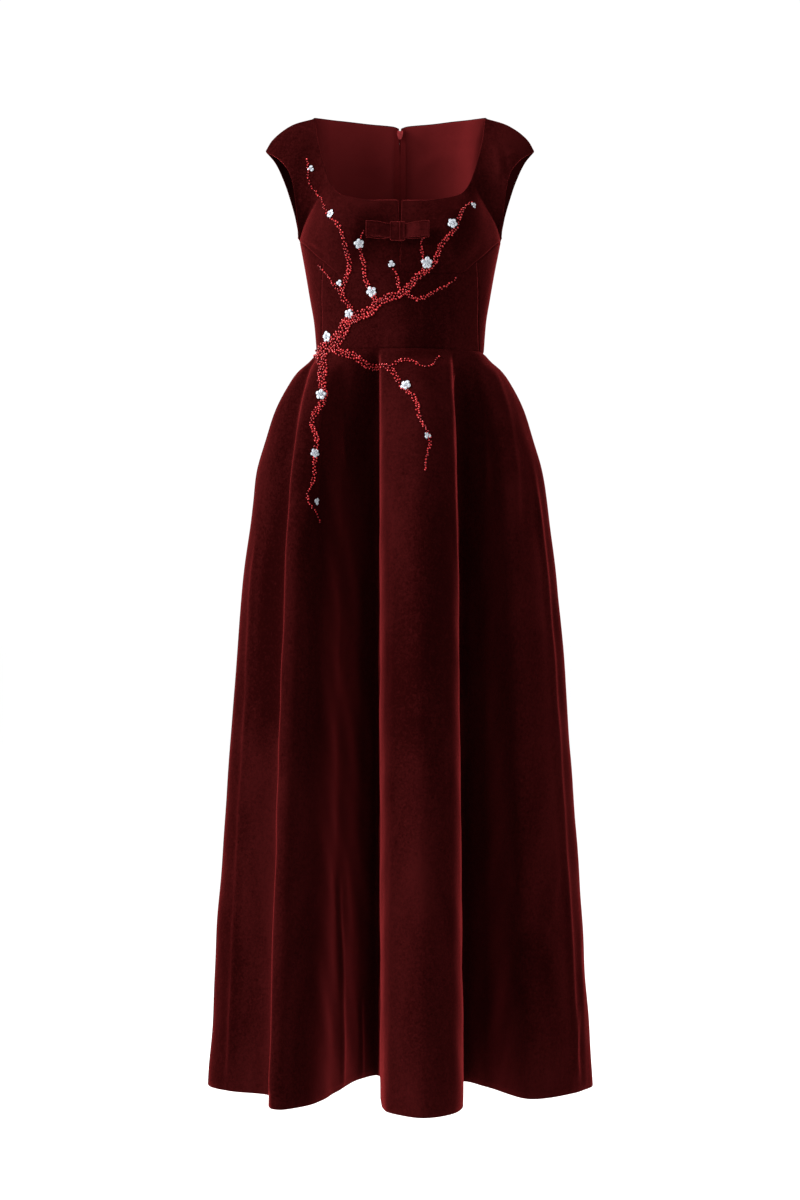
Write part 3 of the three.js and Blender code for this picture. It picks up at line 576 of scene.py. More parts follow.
def bustSurface(side):
    # Patch between neckline, slit, shoulder and the line of underbust seam and armhole, with the
    # cup as a bell curve pushed forward
    s, t = denseEnds(150, 0.5), denseEnds(84)
    gap, armholeStart = bodice["gap"], bustCut["armholeStart"]
    sewn = s <= armholeStart
    top = alongPath(bustCut["neckline"], s)
    angle = np.clip(s * 180, 0, 90)
    seam, level = torso(angle, underbust(angle))
    seam[:, 2] += gap
    seam[:, 0] = np.maximum(seam[:, 0], gap)
    armhole = alongPath(bustCut["armhole"], np.maximum(s, armholeStart))
    bottom = np.where(sewn[:, None], seam, armhole)
    start = alongPath(bustCut["slit"], t)
    end = alongPath(bodice["shoulder"], t)
    points = patch(top, bottom, start, end, s, t)
    near = bellCurve(points, bustCut["cup"], bustCut["cupWidth"], bustCut["cupHeight"])
    edge = (1 - (2 * t[:, None] - 1) ** 4) * smoothStep(s, 0, 0.22)[None]
    points[..., 1] -= bustCut["forward"] * near * edge
    points[:, -1, 1] = -gap
    normals = -gridNormals(points)
    normals[-1, sewn] = level[sewn]
    normals[:, -1] = shoulderUp(t)
    normals[:, 0] = (0, -1, 0)
    lower = np.zeros(points.shape[:2])
    lower[:, s <= 0.52] = edgeRoll(points, ("bottom",))[:, s <= 0.52]
    dip = np.maximum(lower, edgeRoll(points, ("end",)))
    points = points - normals * dip[..., None]
    return worn(points, normals, side, bustCut)


def backSurface(side):
    # Patch from the neck and shoulder down to the waist, with the shoulder blade as a bell curve
    s, t = denseEnds(96), denseEnds(130, 0.5)
    gap, neckEnd, armholeStart = bodice["gap"], backCut["neckEnd"], backCut["armholeStart"]
    foot = bodice["waist"] + gap
    beyondNeck = (s - neckEnd) / (1 - neckEnd)
    neck = alongPath(backCut["neck"], np.minimum(s, neckEnd))
    slope = alongPath(bodice["shoulder"], np.clip(beyondNeck, 0, 1))
    top = np.where(s[:, None] <= neckEnd, neck, slope)
    bottom, level = torso(180 - 90 * s, np.full(s.shape, bodice["waist"]))
    bottom[:, 0] = np.maximum(bottom[:, 0], backCut["slot"])
    bottom[:, 2] = foot
    neckFoot = backCut["neck"][0][3]
    z = neckFoot + t * (foot - neckFoot)
    slot = backCut["slot"] + (backCut["sliderSlot"] - backCut["slot"]) * smoothStep(z, -34, -24)
    start = np.stack([slot, throughRows(backCut["centre"], z), z], -1)
    up = 1 - t
    seamZ = foot + np.clip(up / armholeStart, 0, 1) * (bodice["underarm"] - bodice["waist"] - gap)
    seam = np.stack([throughRows(bodice["sections"], seamZ), 0 * t, seamZ], -1)
    armhole = alongPath(backCut["armhole"], np.maximum(up, armholeStart))
    end = np.where(up[:, None] >= armholeStart, armhole, seam)
    points = patch(top, bottom, start, end, s, t)
    near = bellCurve(points, backCut["blade"], backCut["bladeWidth"], backCut["bladeHeight"])
    edge = (1 - (2 * t[:, None] - 1) ** 4) * (1 - (2 * s[None] - 1) ** 4)
    points[..., 1] += backCut["bladeForward"] * near * edge
    sewnTop = s > neckEnd
    sewnSide = up < armholeStart
    points[0, sewnTop, 1] = gap
    points[sewnSide, -1, 1] = gap
    normals = gridNormals(points)
    normals[-1] = level
    normals[:, 0] = (0, 1, 0)
    normals[sewnSide, -1] = (1, 0, 0)
    normals[0, sewnTop] = shoulderUp(beyondNeck[sewnTop])
    dip = edgeRoll(points, ("bottom",))
    dip = np.maximum(dip, edgeRoll(points, ("start",), 0.7, 1.4))
    dip[:, sewnTop] = np.maximum(dip, edgeRoll(points, ("top",)))[:, sewnTop]
    dip[sewnSide] = np.maximum(dip, edgeRoll(points, ("end",)))[sewnSide]
    points = points - normals * dip[..., None]
    return worn(points, normals, side, backCut)


def midriffSurface(start, startWaist, end, endWaist, count):
    # Points of the torso between two angles, from the underbust seam down to the waist seam
    s, t = denseEnds(count), denseEnds(60)
    inset = 0.05
    begin = start + (startWaist - start) * t + inset
    stop = end + (endWaist - end) * t - inset
    angle = begin[:, None] * (1 - s) + stop[:, None] * s
    top = underbust(angle) - bodice["gap"]
    z = top + (bodice["waist"] + bodice["gap"] - top) * t[:, None]
    points, normals = torso(angle, z)
    dip = edgeRoll(points, ("top", "bottom", "start", "end"))
    points = points - normals * dip[..., None]
    points = creased(points, normals, midriffCut["creases"])
    return softWaves(points, normals, unevenness["bodice"]), normals


def sewPanel(node, surface, free=(), back=velvetBack, wall=bodice["wall"], name=None):
    # Velvet over one panel of the CAD: pile outside, the back's finish inside
    piece = shell("velvet_" + (name or node), *surface, wall, free=free)
    finish(piece, node, (velvetFace, back))
    return piece


def makeBodice():
    made = []
    for name, side in (("_left", 1), ("_right", -1)):
        made += [sewPanel("bust" + name, bustSurface(side), ("top", "bottom", "start")),
                 sewPanel("back" + name, backSurface(side), ("top", "end"), paintedShadeBack)]
    top, waist = bodice["princessTop"], bodice["princessWaist"]
    for node, name, span, count in (
            ("midriff_front", "midriff_front", (-top, -waist, top, waist), 130),
            ("midriff_side_left", "side_left", (top, waist, 90, 90), 50),
            ("midriff_side_right", "side_right", (-90, -90, -top, -waist), 50)):
        made.append(sewPanel(node, midriffSurface(*span, count), name=name))
    return made


# Skirt: folds that start on the waist seam and open with the bell of the skirt

skirtCut = {
    "wall": 2.0, "hem": -1402.0, "stepsPerFold": 14, "levels": 150, "crowding": 1.35, "opening": 1.1,
    "bell": [
        # height, half width
        (-342, 121), (-354, 132), (-366, 146), (-380, 157), (-423, 180), (-467, 194), (-510, 206),
        (-554, 213), (-641, 225), (-728, 233), (-902, 246), (-1076, 259), (-1250, 270), (-1402, 279),
    ],
    "folds": [
        # name, angle on the waist seam, x and forward reach at the hem
        ("tubeCrest", 10, 30, 254), ("tubeTurn", 25, 70, 228), ("tubeEdge", 34, 86, 188),
        ("tubeTuck", 39, 92, -32), ("rightRise", 50, 126, 14), ("rightLobe", 62, 182, 112),
        ("rightFall", 72, 222, 92), ("rightCrest", 83, 262, 44), ("leftSide", 90, 279, 4),
        ("backFoldA", 99, 258, -78), ("backCrestA", 112, 218, -162), ("backSlopeA", 121, 178, -150),
        ("backValleyA", 131, 152, -80), ("backSlopeB", 142, 128, -122), ("backCrestB", 153, 102, -212),
        ("backSlopeC", 163, 58, -220), ("centreBack", 180, 0, -104), ("backSlopeD", 193, -52, -208),
        ("backCrestD", 205, -92, -224), ("backSlopeE", 217, -124, -142), ("backValleyE", 228, -154, -78),
        ("backSlopeF", 238, -182, -138), ("backCrestF", 249, -222, -160), ("backFoldF", 260, -260, -76),
        ("rightSide", 270, -278, 0), ("outerCrest", 277, -244, 47), ("outerTuck", 282, -188, 80),
        ("leftCrest", 288, -179, 186), ("lobeTop", 297, -163, 193), ("lobeMid", 310, -120, 145),
        ("lobeFall", 324, -88, 45), ("leftValley", 339, -58, -52), ("tubeRoot", 345, -34, -85),
        ("tubeStart", 348, -25, 180), ("tubeShoulder", 356, -14, 216),
    ],
    # creases: fold place and height at both ends, depth and width; negative depth is a trough
    "creases": [
        (28.9, -352, 28.2, -640, 4.4, 9), (27.2, -380, 27.25, -1390, 3.4, 13),
        (5.9, -352, 5.4, -620, 3.0, 10), (3.6, -346, 2.2, -404, 1.8, 6),
        (25.55, -1330, 25.6, -1400, 1.4, 5), (25.95, -1330, 25.95, -1400, 1.3, 4),
        (24.9, -1290, 25.05, -1360, 1.2, 5), (6.4, -1060, 6.0, -1180, 1.5, 7),
        (7.0, -1280, 6.5, -1400, 1.5, 7), (4.4, -350, 4.2, -560, -2.4, 9),
        (29.8, -350, 30.2, -520, -2.2, 9), (34.3, -360, 34.0, -1380, 1.6, 9),
        (1.7, -350, 1.95, -700, 1.8, 8), (0.6, -346, 0.9, -470, -1.6, 8),
        (6.72, -480, 6.82, -1390, 2.8, 7), (24.7, -560, 25.0, -1390, 2.8, 6),
        (29.95, -1080, 30.2, -1400, 2.2, 8), (31.0, -1280, 31.1, -1400, 1.6, 6),
        (7.5, -1160, 7.2, -1400, 1.3, 9), (5.2, -900, 5.9, -1400, -1.4, 14),
        (28.4, -900, 28.0, -1400, -1.5, 12), (2.6, -420, 2.5, -1000, -1.2, 9),
        (11.0, -352, 11.1, -900, 2.4, 11), (14.2, -350, 14.0, -1000, 2.4, 11),
        (18.2, -350, 18.3, -980, 2.2, 11), (22.1, -352, 22.0, -900, 2.2, 11),
        (12.4, -348, 12.6, -620, -2.0, 10), (16.5, -348, 16.6, -700, -1.8, 10),
        (20.2, -348, 20.3, -640, -2.0, 10), (9.6, -348, 9.4, -560, 2.0, 9),
        (23.6, -348, 23.8, -560, 1.8, 9), (10.2, -900, 9.8, -1400, 1.4, 10),
        (15.1, -980, 15.5, -1400, -1.3, 11), (19.0, -1000, 18.6, -1400, 1.4, 10),
    ],
}
foldNames = [row[0] for row in skirtCut["folds"]]


def splinePoint(p0, p1, p2, p3, w):
    # Centripetal Catmull-Rom point between p1 and p2 at share w
    d0, d1, d2 = (np.linalg.norm(b - a, axis=-1, keepdims=True) ** 0.5
                  for a, b in ((p0, p1), (p1, p2), (p2, p3)))
    t1 = ((p1 - p0) / d0 - (p2 - p0) / (d0 + d1) + (p2 - p1) / d1) * d1
    t2 = ((p2 - p1) / d1 - (p3 - p1) / (d1 + d2) + (p3 - p2) / d2) * d1
    return p1 + t1 * w + (3 * (p2 - p1) - 2 * t1 - t2) * w ** 2 + (2 * (p1 - p2) + t1 + t2) * w ** 3


def bellSpread(z):
    # How far the skirt has opened at a height: 0 at the waist and 1 at the hem
    low, high = skirtCut["bell"][0][1], skirtCut["bell"][-1][1]
    return (throughRows(skirtCut["bell"], z) - low) / (high - low)


def skirtSurface(gap):
    # At each height a closed centripetal spline through the folds; a fold's point slides from its
    # place on the waist seam to its place on the hem by the spread of the bell
    folds = np.array([row[1:] for row in skirtCut["folds"]], float)
    levels = skirtCut["levels"]
    top = bodice["waist"] - gap
    share = np.linspace(0, 1, levels + 1) ** skirtCut["crowding"]
    share[1] *= 0.6
    z = top + (skirtCut["hem"] - top) * share
    spread = bellSpread(z)
    waist, _ = torso(folds[:, 0], np.full(len(folds), bodice["waist"]))
    knots = np.empty((levels + 1, len(folds), 3))
    knots[..., 0] = waist[:, 0] + (folds[:, 1] - waist[:, 0]) * spread[:, None]
    knots[..., 1] = waist[:, 1] + (-folds[:, 2] - waist[:, 1]) * (spread ** skirtCut["opening"])[:, None]
    knots[..., 2] = z[:, None]
    steps = skirtCut["stepsPerFold"]
    place = np.arange(len(folds) * steps) / steps
    whole = np.floor(place).astype(int)
    w = (place - whole)[None, :, None]
    ring = splinePoint(*(knots[:, (whole + k) % len(folds)] for k in (-1, 0, 1, 2)), w)
    return ring, z


def skirtCreases(points, normals, z):
    # Ridges and troughs that run down the cloth: depth * exp(-(distance round the ring / width)^2),
    # swelling from nothing at both ends of the crease
    step = np.linalg.norm(np.roll(points, -1, 1) - points, axis=-1)
    reach = runs(step, 1)
    move = np.zeros(points.shape[:2])
    span = len(foldNames)
    row = np.arange(len(z))
    for u0, z0, u1, z1, depth, width in skirtCut["creases"]:
        t = (z - z0) / (z1 - z0)
        inside = (t >= 0) & (t <= 1)
        t = np.clip(t, 0, 1)
        u = (u0 + (u1 - u0) * t + 0.04 * np.sin(5 * t + u0)) % span
        column = u / span * points.shape[1]
        low = column.astype(int)
        at = reach[row, low] * (low + 1 - column) + reach[row, low + 1] * (column - low)
        away = np.abs(reach[:, :-1] - at[:, None])
        away = np.minimum(away, reach[:, -1:] - away)
        swell = smoothStep(t, 0, 0.12) * smoothStep(1 - t, 0, 0.25 if z1 > -1300 else 0.02)
        move += depth * (swell * inside)[:, None] * np.exp(-((away / width) ** 2))
    return points + normals * move[..., None]


def makeSkirt():
    points, z = skirtSurface(bodice["gap"])
    normals = -gridNormals(points, closed=True)
    points = skirtCreases(points, normals, z)
    lower = smoothStep(-z, -bodice["waist"], 500)[:, None]
    height = unevenness["bodice"] + (unevenness["skirt"] - unevenness["bodice"]) * lower
    points = softWaves(points, normals, height)
    points[..., 2] = z[:, None]
    normals[[0, -1]] = unit(normals[[0, -1]] * np.array([1, 1, 0]))
    steps = skirtCut["stepsPerFold"]
    count = points.shape[1]
    made = []
    for name, begin, stop in (("front", "rightSide", "leftSide"),
                              ("back_left", "leftSide", "centreBack"),
                              ("back_right", "centreBack", "rightSide")):
        a, b = foldNames.index(begin) * steps, foldNames.index(stop) * steps
        columns = np.arange(a, a + (b - a) % count + 1) % count
        cloth, out = points[:, columns].copy(), normals[:, columns].copy()
        dip = edgeRoll(cloth, ("start", "end"), 0.8, 2.2)
        dip = np.maximum(dip, edgeRoll(cloth, ("top",), 0.9, 2.4))
        cloth = cloth - out * dip[..., None]
        made.append(sewPanel("skirt_" + name, (cloth, out), ("bottom",), wall=skirtCut["wall"]))
    return made


# Bow over the slit: two flat loops of velvet band and the band that wraps them

bowCut = {
    "place": (-3.5, -179), "clear": 4, "lean": -9, "reach": 45, "rise": 12, "halfHeight": 11.2,
    "pinched": 10.3, "band": 1.2, "inner": -2.3, "outer": -7.2, "round": 132, "rows": 40,
    "knotHalf": 10.6, "knotHeight": 13.6, "knotBack": -0.6, "knotFront": -9.6, "pleat": 3.4, "edge": 1.0,
}


def closedSpline(knots, count):
    # Closed centripetal spline through the knots, sampled evenly by knot number
    knots = np.asarray(knots, float)
    place = np.arange(count) * len(knots) / count
    whole = np.floor(place).astype(int)
    w = (place - whole)[:, None]
    p0, p1, p2, p3 = (knots[(whole + k) % len(knots)] for k in (-1, 0, 1, 2))
    return splinePoint(p0, p1, p2, p3, w)


def onBust(points):
    # Carries the bow's own frame (-Y out of the cloth) to its place, leaning with the bust
    lean = math.radians(bowCut["lean"])
    x, y, z = points[..., 0], points[..., 1], points[..., 2]
    outY = alongPath(bustCut["slit"], 0.43)[1] - bowCut["clear"]
    turnedY = y * math.cos(lean) - z * math.sin(lean)
    turnedZ = y * math.sin(lean) + z * math.cos(lean)
    return np.stack([x + bowCut["place"][0], turnedY + outY, turnedZ + bowCut["place"][1]], -1)


def bowLoopSurface(side):
    # The loop's flattened section carried up the height of the band, which opens from the knot
    reach, rise, inner, outer = (bowCut[key] for key in ("reach", "rise", "inner", "outer"))
    section = [
        (1.5, inner), (13, inner - 1.5), (28, inner - 0.55 * rise), (reach - 3, inner - rise),
        (reach, inner - rise - 2.6), (reach - 3, outer - rise + 0.2), (28, outer - 0.75 * rise),
        (13, outer - 1.4), (1.5, outer),
    ]
    ring = closedSpline(section, bowCut["round"])
    t = denseEnds(bowCut["rows"], 0.6)[:, None]
    opened = smoothStep(ring[:, 0], 10, 30)
    half = bowCut["pinched"] + (bowCut["halfHeight"] - bowCut["pinched"]) * opened
    x = ring[None, :, 0] + 0 * t
    y = ring[None, :, 1] + 0 * t
    z = half[None] * (1 - 2 * t)
    front = smoothStep(-ring[:, 1], 3.0, 7.0)[None]
    near = np.exp(-((x - 11) / 8) ** 2)
    pucker = 0.25 * np.sin(z * 0.75 + side) * near + 0.15 * np.sin(z * 0.22 + x * 0.07 + 2 * side)
    fold = bowCut["edge"] * (np.exp(-((half[None] - np.abs(z) - 0.8) / 0.7) ** 2)
                             + np.exp(-((reach - 1.6 - x) / 0.7) ** 2))
    y = y - (pucker + fold) * front
    return x, y, z


def bowKnotSurface():
    # A rounded box section carried across the bow; a pleat runs down it at one third
    half = (bowCut["knotBack"] - bowCut["knotFront"]) / 2
    middle = (bowCut["knotBack"] + bowCut["knotFront"]) / 2
    across = 2 * denseEnds(44, 0.5)[:, None] - 1
    turn = (np.arange(bowCut["round"]) / bowCut["round"] * 2 * np.pi)[None]
    sine, cosine = np.sin(turn), np.cos(turn)
    end = np.clip((np.abs(across) - 0.82) / 0.18, 0, 1)
    height = bowCut["knotHeight"] - 1.6 * end ** 2
    z = np.sign(cosine) * np.abs(cosine) ** (1 / 3) * height
    y = middle + np.sign(sine) * np.abs(sine) ** (2 / 3) * half * (1 - 0.1 * end)
    x = across * bowCut["knotHalf"] + 0 * turn
    front = smoothStep(middle - y, 0, 2.0)
    step = smoothStep(x, bowCut["pleat"] - 0.8, bowCut["pleat"]) - smoothStep(x, bowCut["pleat"], 9.5)
    groove = np.exp(-((x - bowCut["pleat"] + 1.6) / 0.9) ** 2)
    fold = bowCut["edge"] * (np.exp(-((bowCut["knotHalf"] - 1.0 - np.abs(x)) / 0.7) ** 2)
                             + np.exp(-((x - bowCut["pleat"] - 0.4) / 0.5) ** 2))
    y = y - front * (0.9 * step - 0.7 * groove + fold)
    return x, y, z


def makeBand(name, grid, side=1):
    # A closed band from the grids of x, y and z, with its normals outward, set on the bust
    points = np.stack(grid, -1)
    normals = gridNormals(points, closed=True)
    if (normals * (points - points.mean((0, 1)))).sum() < 0:
        normals = -normals
    if side < 0:
        points, normals = mirror(points), mirror(normals)
    points, normals = onBust(points), onBust(normals) - onBust(0 * normals)
    ends = ("top", "bottom")
    piece = shell("velvet_" + name, points, normals, bowCut["band"], closed=True, free=ends)
    finish(piece, name, (bandVelvet, bandVelvet))


def makeBow():
    makeBand("bow_left", bowLoopSurface(1))
    makeBand("bow_right", bowLoopSurface(-1), -1)
    makeBand("bow_knot", bowKnotSurface())


# Beaded branch: a bough with twigs, places seen from the front in millimetres

branch = {
    "seed": 5, "spacing": 2.8, "lift": 0.4, "around": 8, "rings": 4,
    "size": 1.05, "growth": 0.05, "sizeSpread": 0.5, "flatness": 0.8, "darkShare": 0.35,
    "paths": [
        # x, z and half width of the beading
        [(-119, -352, 11), (-96, -330, 9), (-66, -300, 7.5), (-34, -282, 6), (2, -262, 5), (34, -236, 4),
         (62, -196, 3), (84, -160, 2), (100, -132, 1.2)],
        [(-66, -300, 4.5), (-80, -262, 3.6), (-72, -214, 3), (-88, -172, 2.2), (-112, -130, 1.6),
         (-130, -92, 1.2), (-136, -66, 0.8)],
        [(-34, -282, 3.6), (-44, -250, 3), (-56, -206, 2), (-50, -176, 1)],
        [(-112, -356, 7), (-108, -400, 5), (-122, -452, 3.4), (-118, -500, 2.4), (-128, -548, 1.6),
         (-116, -590, 1)],
        [(-96, -340, 5.5), (-60, -356, 5), (-20, -372, 4), (10, -404, 3.2), (28, -440, 2.4),
         (40, -486, 1.6), (34, -520, 1)],
        [(2, -262, 3), (24, -270, 2.6), (52, -262, 1.8), (78, -240, 1)],
        [(-80, -262, 2.2), (-100, -244, 1.4), (-114, -218, 0.9)],
        [(-20, -372, 2.4), (12, -362, 1.8), (40, -368, 1.2), (58, -356, 0.8)],
        [(34, -236, 2.2), (30, -206, 1.6), (38, -182, 0.9)],
        [(2, -262, 2.6), (-5, -246, 1.8), (-11, -230, 1.1)],
    ],
}
blossomLook = {
    "lift": 0.7, "petalRings": 7, "petalRound": 14, "budWidth": 1.25,
    "pearls": 6, "middlePearl": 0.1488, "pearl": 0.12, "pearlRing": 0.26, "pearlRise": 0.3,
}
blossomRows = [
    # x, z, radius, petals, turn in degrees
    (-104, -322, 8.6, 5, 10), (-72, -292, 7, 5, 40), (-86, -248, 5, 3, 0), (-40, -262, 7.8, 5, 65),
    (-12, -224, 5.2, 3, 80), (38, -222, 8.6, 5, 20), (74, -168, 7.4, 5, 50), (104, -138, 5, 3, 30),
    (-58, -196, 7.4, 5, 5), (-98, -152, 6.4, 5, 33), (-128, -80, 5, 3, 100), (-112, -408, 8.2, 5, 25),
    (-120, -492, 6.7, 5, 60), (-118, -560, 5.2, 3, 15), (8, -398, 7.8, 5, 45), (38, -470, 5.2, 3, 70),
]


def wallTree(pieces):
    # Search tree over the outer cloth, in millimetres
    vertices, faces = [], []
    count = 0
    for piece in pieces:
        mesh = piece.data
        points = np.empty(len(mesh.vertices) * 3, np.float32)
        mesh.vertices.foreach_get("co", points)
        corners = np.empty(len(mesh.loops), np.int32)
        mesh.loops.foreach_get("vertex_index", corners)
        vertices.append(points.reshape(-1, 3) / mm)
        faces.append(corners.reshape(-1, 4) + count)
        count += len(mesh.vertices)
    return BVHTree.FromPolygons(np.concatenate(vertices).tolist(), np.concatenate(faces).tolist())


def ontoWall(tree, x, z):
    # Points and outward directions where rays along +Y first meet the cloth; one that misses it
    # keeps its place in the plane y = 0
    places, directions = [], []
    for a, b in zip(x, z):
        place, direction, _, _ = tree.ray_cast(Vector((a, -1000, b)), Vector((0, 1, 0)))
        if place is None:
            place, direction = Vector((a, 0, b)), Vector((0, -1, 0))
        if direction.y > 0:
            direction = -direction
        places.append(place)
        directions.append(direction)
    return np.array(places, float), np.array(directions, float)


def spotsAlong(path, draw):
    # Random spots inside a path's width; the ones too near an earlier spot are dropped
    path = np.asarray(path, float)
    step = np.linalg.norm(np.diff(path[:, :2], axis=0), axis=1)
    reach = runs(step)
    count = int((step * (path[1:, 2] + path[:-1, 2])).sum() * 0.9 + reach[-1] * 2)
    at = draw.uniform(0, reach[-1], count)
    rows = np.column_stack([reach, path])
    x, z, half = alongPath(rows, at).T
    ahead = unit((alongPath(rows, at + 1) - alongPath(rows, at - 1))[:, :2])
    aside = draw.uniform(-1, 1, count) * half
    wander = 2.4 * np.sin(at * 0.11 + path[0, 0]) * smoothStep(at, 0, 20)
    x = x - ahead[:, 1] * (aside + wander)
    z = z + ahead[:, 0] * (aside + wander)
    return np.stack([x, z, half], -1)


def thinned(spots, spacing):
    kept = []
    for spot in spots:
        if not kept or np.min(np.hypot(*(np.array(kept)[:, :2] - spot[:2]).T)) > spacing:
            kept.append(spot)
    return np.array(kept)


def beadMesh(name, centres, directions, radii, flatness, kinds):
    # One low sphere per bead, squashed along the direction out of the cloth
    around, rings = branch["around"], branch["rings"]
    turn = np.arange(around) / around * 2 * np.pi
    fall = np.arange(1, rings) / rings * np.pi
    ring = np.stack([np.outer(np.sin(fall), np.cos(turn)), np.outer(np.sin(fall), np.sin(turn)),
                     np.outer(np.cos(fall), np.ones(around))], -1).reshape(-1, 3)
    ball = np.concatenate([[(0, 0, 1)], ring, [(0, 0, -1)]])
    side = unit(np.cross(directions, np.array([0.3, 0.2, 1.0])))
    up = np.cross(directions, side)
    place = (ball[None, :, :1] * side[:, None] + ball[None, :, 1:2] * up[:, None]
             + ball[None, :, 2:] * directions[:, None] * flatness)
    vertices = (centres[:, None] + place * radii[:, None, None]).reshape(-1, 3)
    a = 1 + np.arange(around)
    b = 1 + (np.arange(around) + 1) % around
    faces = [np.stack([0 * a, a, b, b], -1)]
    for k in range(rings - 2):
        low = k * around
        faces.append(np.stack([a + low, a + low + around, b + low + around, b + low], -1))
    low = (rings - 2) * around
    faces.append(np.stack([a + low, 0 * a + len(ball) - 1, b + low, b + low], -1))
    one = np.concatenate(faces)
    every = (one[None] + (np.arange(len(centres)) * len(ball))[:, None, None]).reshape(-1, 4)
    return trianglesOf(name, vertices * mm, every, np.repeat(kinds, len(one)))


def trianglesOf(name, vertices, faces, kinds):
    # Splits quads into triangles; a quad with two equal corners is one triangle
    first, second = faces[:, [0, 1, 2]], faces[:, [0, 2, 3]]
    real = second[:, 1] != second[:, 2]
    kinds = np.concatenate([kinds, kinds[real]])
    return meshOf(name, vertices, np.concatenate([first, second[real]]), kinds)


def makeBranch(tree):
    draw = np.random.default_rng(branch["seed"])
    spots = np.concatenate([spotsAlong(path, draw) for path in branch["paths"]])
    spots = thinned(spots[draw.permutation(len(spots))], branch["spacing"])
    places, directions = ontoWall(tree, spots[:, 0], spots[:, 1])
    radii = branch["size"] + branch["growth"] * spots[:, 2]
    radii = radii + draw.uniform(0, branch["sizeSpread"], len(spots))
    kinds = (draw.uniform(size=len(spots)) < branch["darkShare"]).astype(int)
    centres = places + directions * (radii * 0.6 + branch["lift"])[:, None]
    beads = beadMesh("beaded_branch", centres, directions, radii, branch["flatness"], kinds)
    finish(beads, None, (redGlass, darkGlass))
    print("beads", len(spots))


def petalGrid():
    # One petal in its own plane: a rounded, cupped dome with a crease down the middle
    rings, around = blossomLook["petalRings"], blossomLook["petalRound"]
    r = np.linspace(0, 1, rings)[:, None]
    turn = (np.arange(around) / around * 2 * np.pi)[None]
    along = 0.52 + 0.46 * r * np.cos(turn)
    across = 0.4 * r * np.sin(turn) * (1 + 0.12 * np.cos(turn))
    dome = 0.26 * np.sqrt(np.clip(1 - r ** 2, 0, 1))
    height = dome + 0.1 * along - 0.1 * np.exp(-(across / 0.07) ** 2)
    top = np.stack([along, across, height + 0 * turn], -1)
    under = top.copy()
    under[..., 2] = 0.05 + 0.06 * along
    return np.concatenate([top, under[::-1]], 0)


def makeBlossoms(tree):
    petal = petalGrid()
    rows, around = petal.shape[:2]
    index = np.arange(rows * around).reshape(rows, around)
    after = np.roll(index, -1, 1)
    faces = np.stack([index[:-1], index[1:], after[1:], after[:-1]], -1).reshape(-1, 4)
    vertices, quads = [], []
    pearlPlaces, pearlWays, pearlSizes = [], [], []
    nearby = np.arange(6)
    count = 0
    draw = np.random.default_rng(branch["seed"] + 1)
    for x, z, radius, petals, turn in blossomRows:
        place, way = ontoWall(tree, [x], [z])
        _, ways = ontoWall(tree, x + radius * 0.7 * np.cos(nearby), z + radius * 0.7 * np.sin(nearby))
        way = unit(way[0] + ways.sum(0))
        side = unit(np.cross(way, (0, 0, 1)))
        up = np.cross(side, way)
        centre = place[0] + way * blossomLook["lift"]
        for k in range(petals):
            angle = math.radians(turn) + 2 * np.pi * k / petals + draw.uniform(-0.06, 0.06)
            spread = radius * draw.uniform(0.95, 1.05)
            out = side * math.cos(angle) + up * math.sin(angle)
            over = np.cross(way, out)
            local = petal * spread
            wide = 1.0 if petals == 5 else blossomLook["budWidth"]
            p = centre + local[..., :1] * out + local[..., 1:2] * wide * over + local[..., 2:] * way
            vertices.append(p.reshape(-1, 3))
            quads.append(faces + count)
            count += p.shape[0] * p.shape[1]
        ring = np.arange(blossomLook["pearls"]) / blossomLook["pearls"] * 2 * np.pi
        pearlPlaces.append(centre + way * radius * 0.34)
        for a in ring:
            out = side * math.cos(a) + up * math.sin(a)
            pearlPlaces.append(centre + way * radius * blossomLook["pearlRise"]
                               + out * radius * blossomLook["pearlRing"])
        pearlWays += [way] * (1 + len(ring))
        pearlSizes += [radius * blossomLook["middlePearl"]] + [radius * blossomLook["pearl"]] * len(ring)
    faces = np.concatenate(quads)
    petals = trianglesOf("blossoms", np.concatenate(vertices) * mm, faces, np.zeros(len(faces), int))
    nodes = ["blossom_%02d" % (k + 1) for k in range(len(blossomRows))]
    finish(petals, nodes, (petalWhite,))
    places, ways, sizes = map(np.array, (pearlPlaces, pearlWays, pearlSizes))
    pearls = beadMesh("blossom_pearls", places, ways, sizes, 1.0, np.zeros(len(places), int))
    finish(pearls, None, (petalWhite,))


# Concealed zip at centre back: the CAD tapes and slider keep their shape, the coil is added here

zipCut = {
    "top": -19.5, "foot": -500, "pitch": 1.3, "reach": 1.7, "thick": 0.8, "behind": 2.9,
    "stagger": 0.25, "tilt": 0.35, "flatness": 0.6, "sunk": 0.35,
}


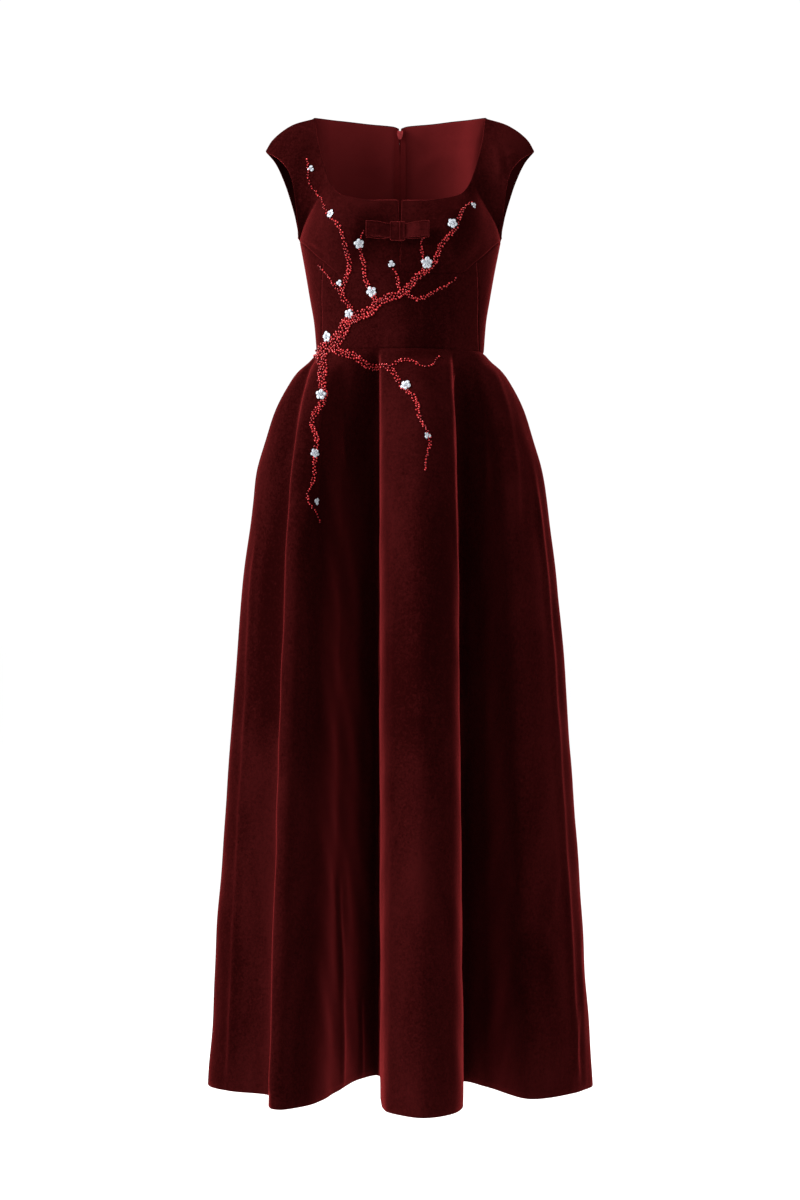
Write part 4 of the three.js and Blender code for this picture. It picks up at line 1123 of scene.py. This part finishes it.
def centreBackAt(z):
    # Outer face of the cloth at centre back, over bodice and skirt
    reach = -[row[3] for row in skirtCut["folds"] if row[0] == "centreBack"][0]
    start = torso(np.array([180.0]), np.array([bodice["waist"]]))[0][0, 1]
    skirt = start + (reach - start) * bellSpread(z) ** skirtCut["opening"]
    return np.where(z > bodice["waist"], throughRows(backCut["centre"], z), skirt)


def makeCoil():
    # Small tilted bars across the slot, alternating left and right, each a six-sided prism
    z = np.arange(zipCut["top"], zipCut["foot"], -zipCut["pitch"])
    y = centreBackAt(z) - zipCut["behind"]
    hand = np.where(np.arange(len(z)) % 2, 1.0, -1.0)
    turn = np.arange(6) / 6 * 2 * np.pi
    vertices = []
    for end in (-1.0, 1.0):
        x = (end * zipCut["reach"] + zipCut["stagger"] * hand)[:, None] + 0 * turn
        lift = zipCut["thick"] * np.cos(turn)[None]
        out = zipCut["thick"] * zipCut["flatness"] * np.sin(turn)[None] - zipCut["sunk"]
        tilt = (end * zipCut["tilt"] * hand)[:, None]
        vertices.append(np.stack([x, y[:, None] + out, z[:, None] + lift + tilt], -1))
    points = np.stack(vertices, 1).reshape(-1, 3)
    k = np.arange(6)
    n = (k + 1) % 6
    sides = np.stack([k, n, n + 6, k + 6], -1)
    caps = np.array([[0, 5, 4, 3], [0, 3, 2, 1], [6, 7, 8, 9], [6, 9, 10, 11]])
    one = np.concatenate([sides, caps])
    every = (one[None] + (np.arange(len(z)) * 12)[:, None, None]).reshape(-1, 4)
    coil = meshOf("zip_coil", points * mm, every)
    coil.data.shade_flat()
    finish(coil, None, (tapeCloth,))


def dressCadNodes():
    # The tapes, slider and pull keep their CAD meshes and get their finishes
    for node, look in (("zip_tape_left", tapeCloth), ("zip_tape_right", tapeCloth),
                       ("zip_slider", redEnamel), ("zip_pull", redEnamel)):
        piece = bpy.data.objects[node]
        piece.data.materials.clear()
        piece.data.materials.append(look)


level = makeCamera()
makeStudio(level)
print("studio ready")
bodicePieces = makeBodice()
print("bodice ready")
skirtPieces = makeSkirt()
print("skirt ready")
makeBow()
tree = wallTree(bodicePieces + skirtPieces)
makeBranch(tree)
makeBlossoms(tree)
makeCoil()
dressCadNodes()
print("trimmings ready")
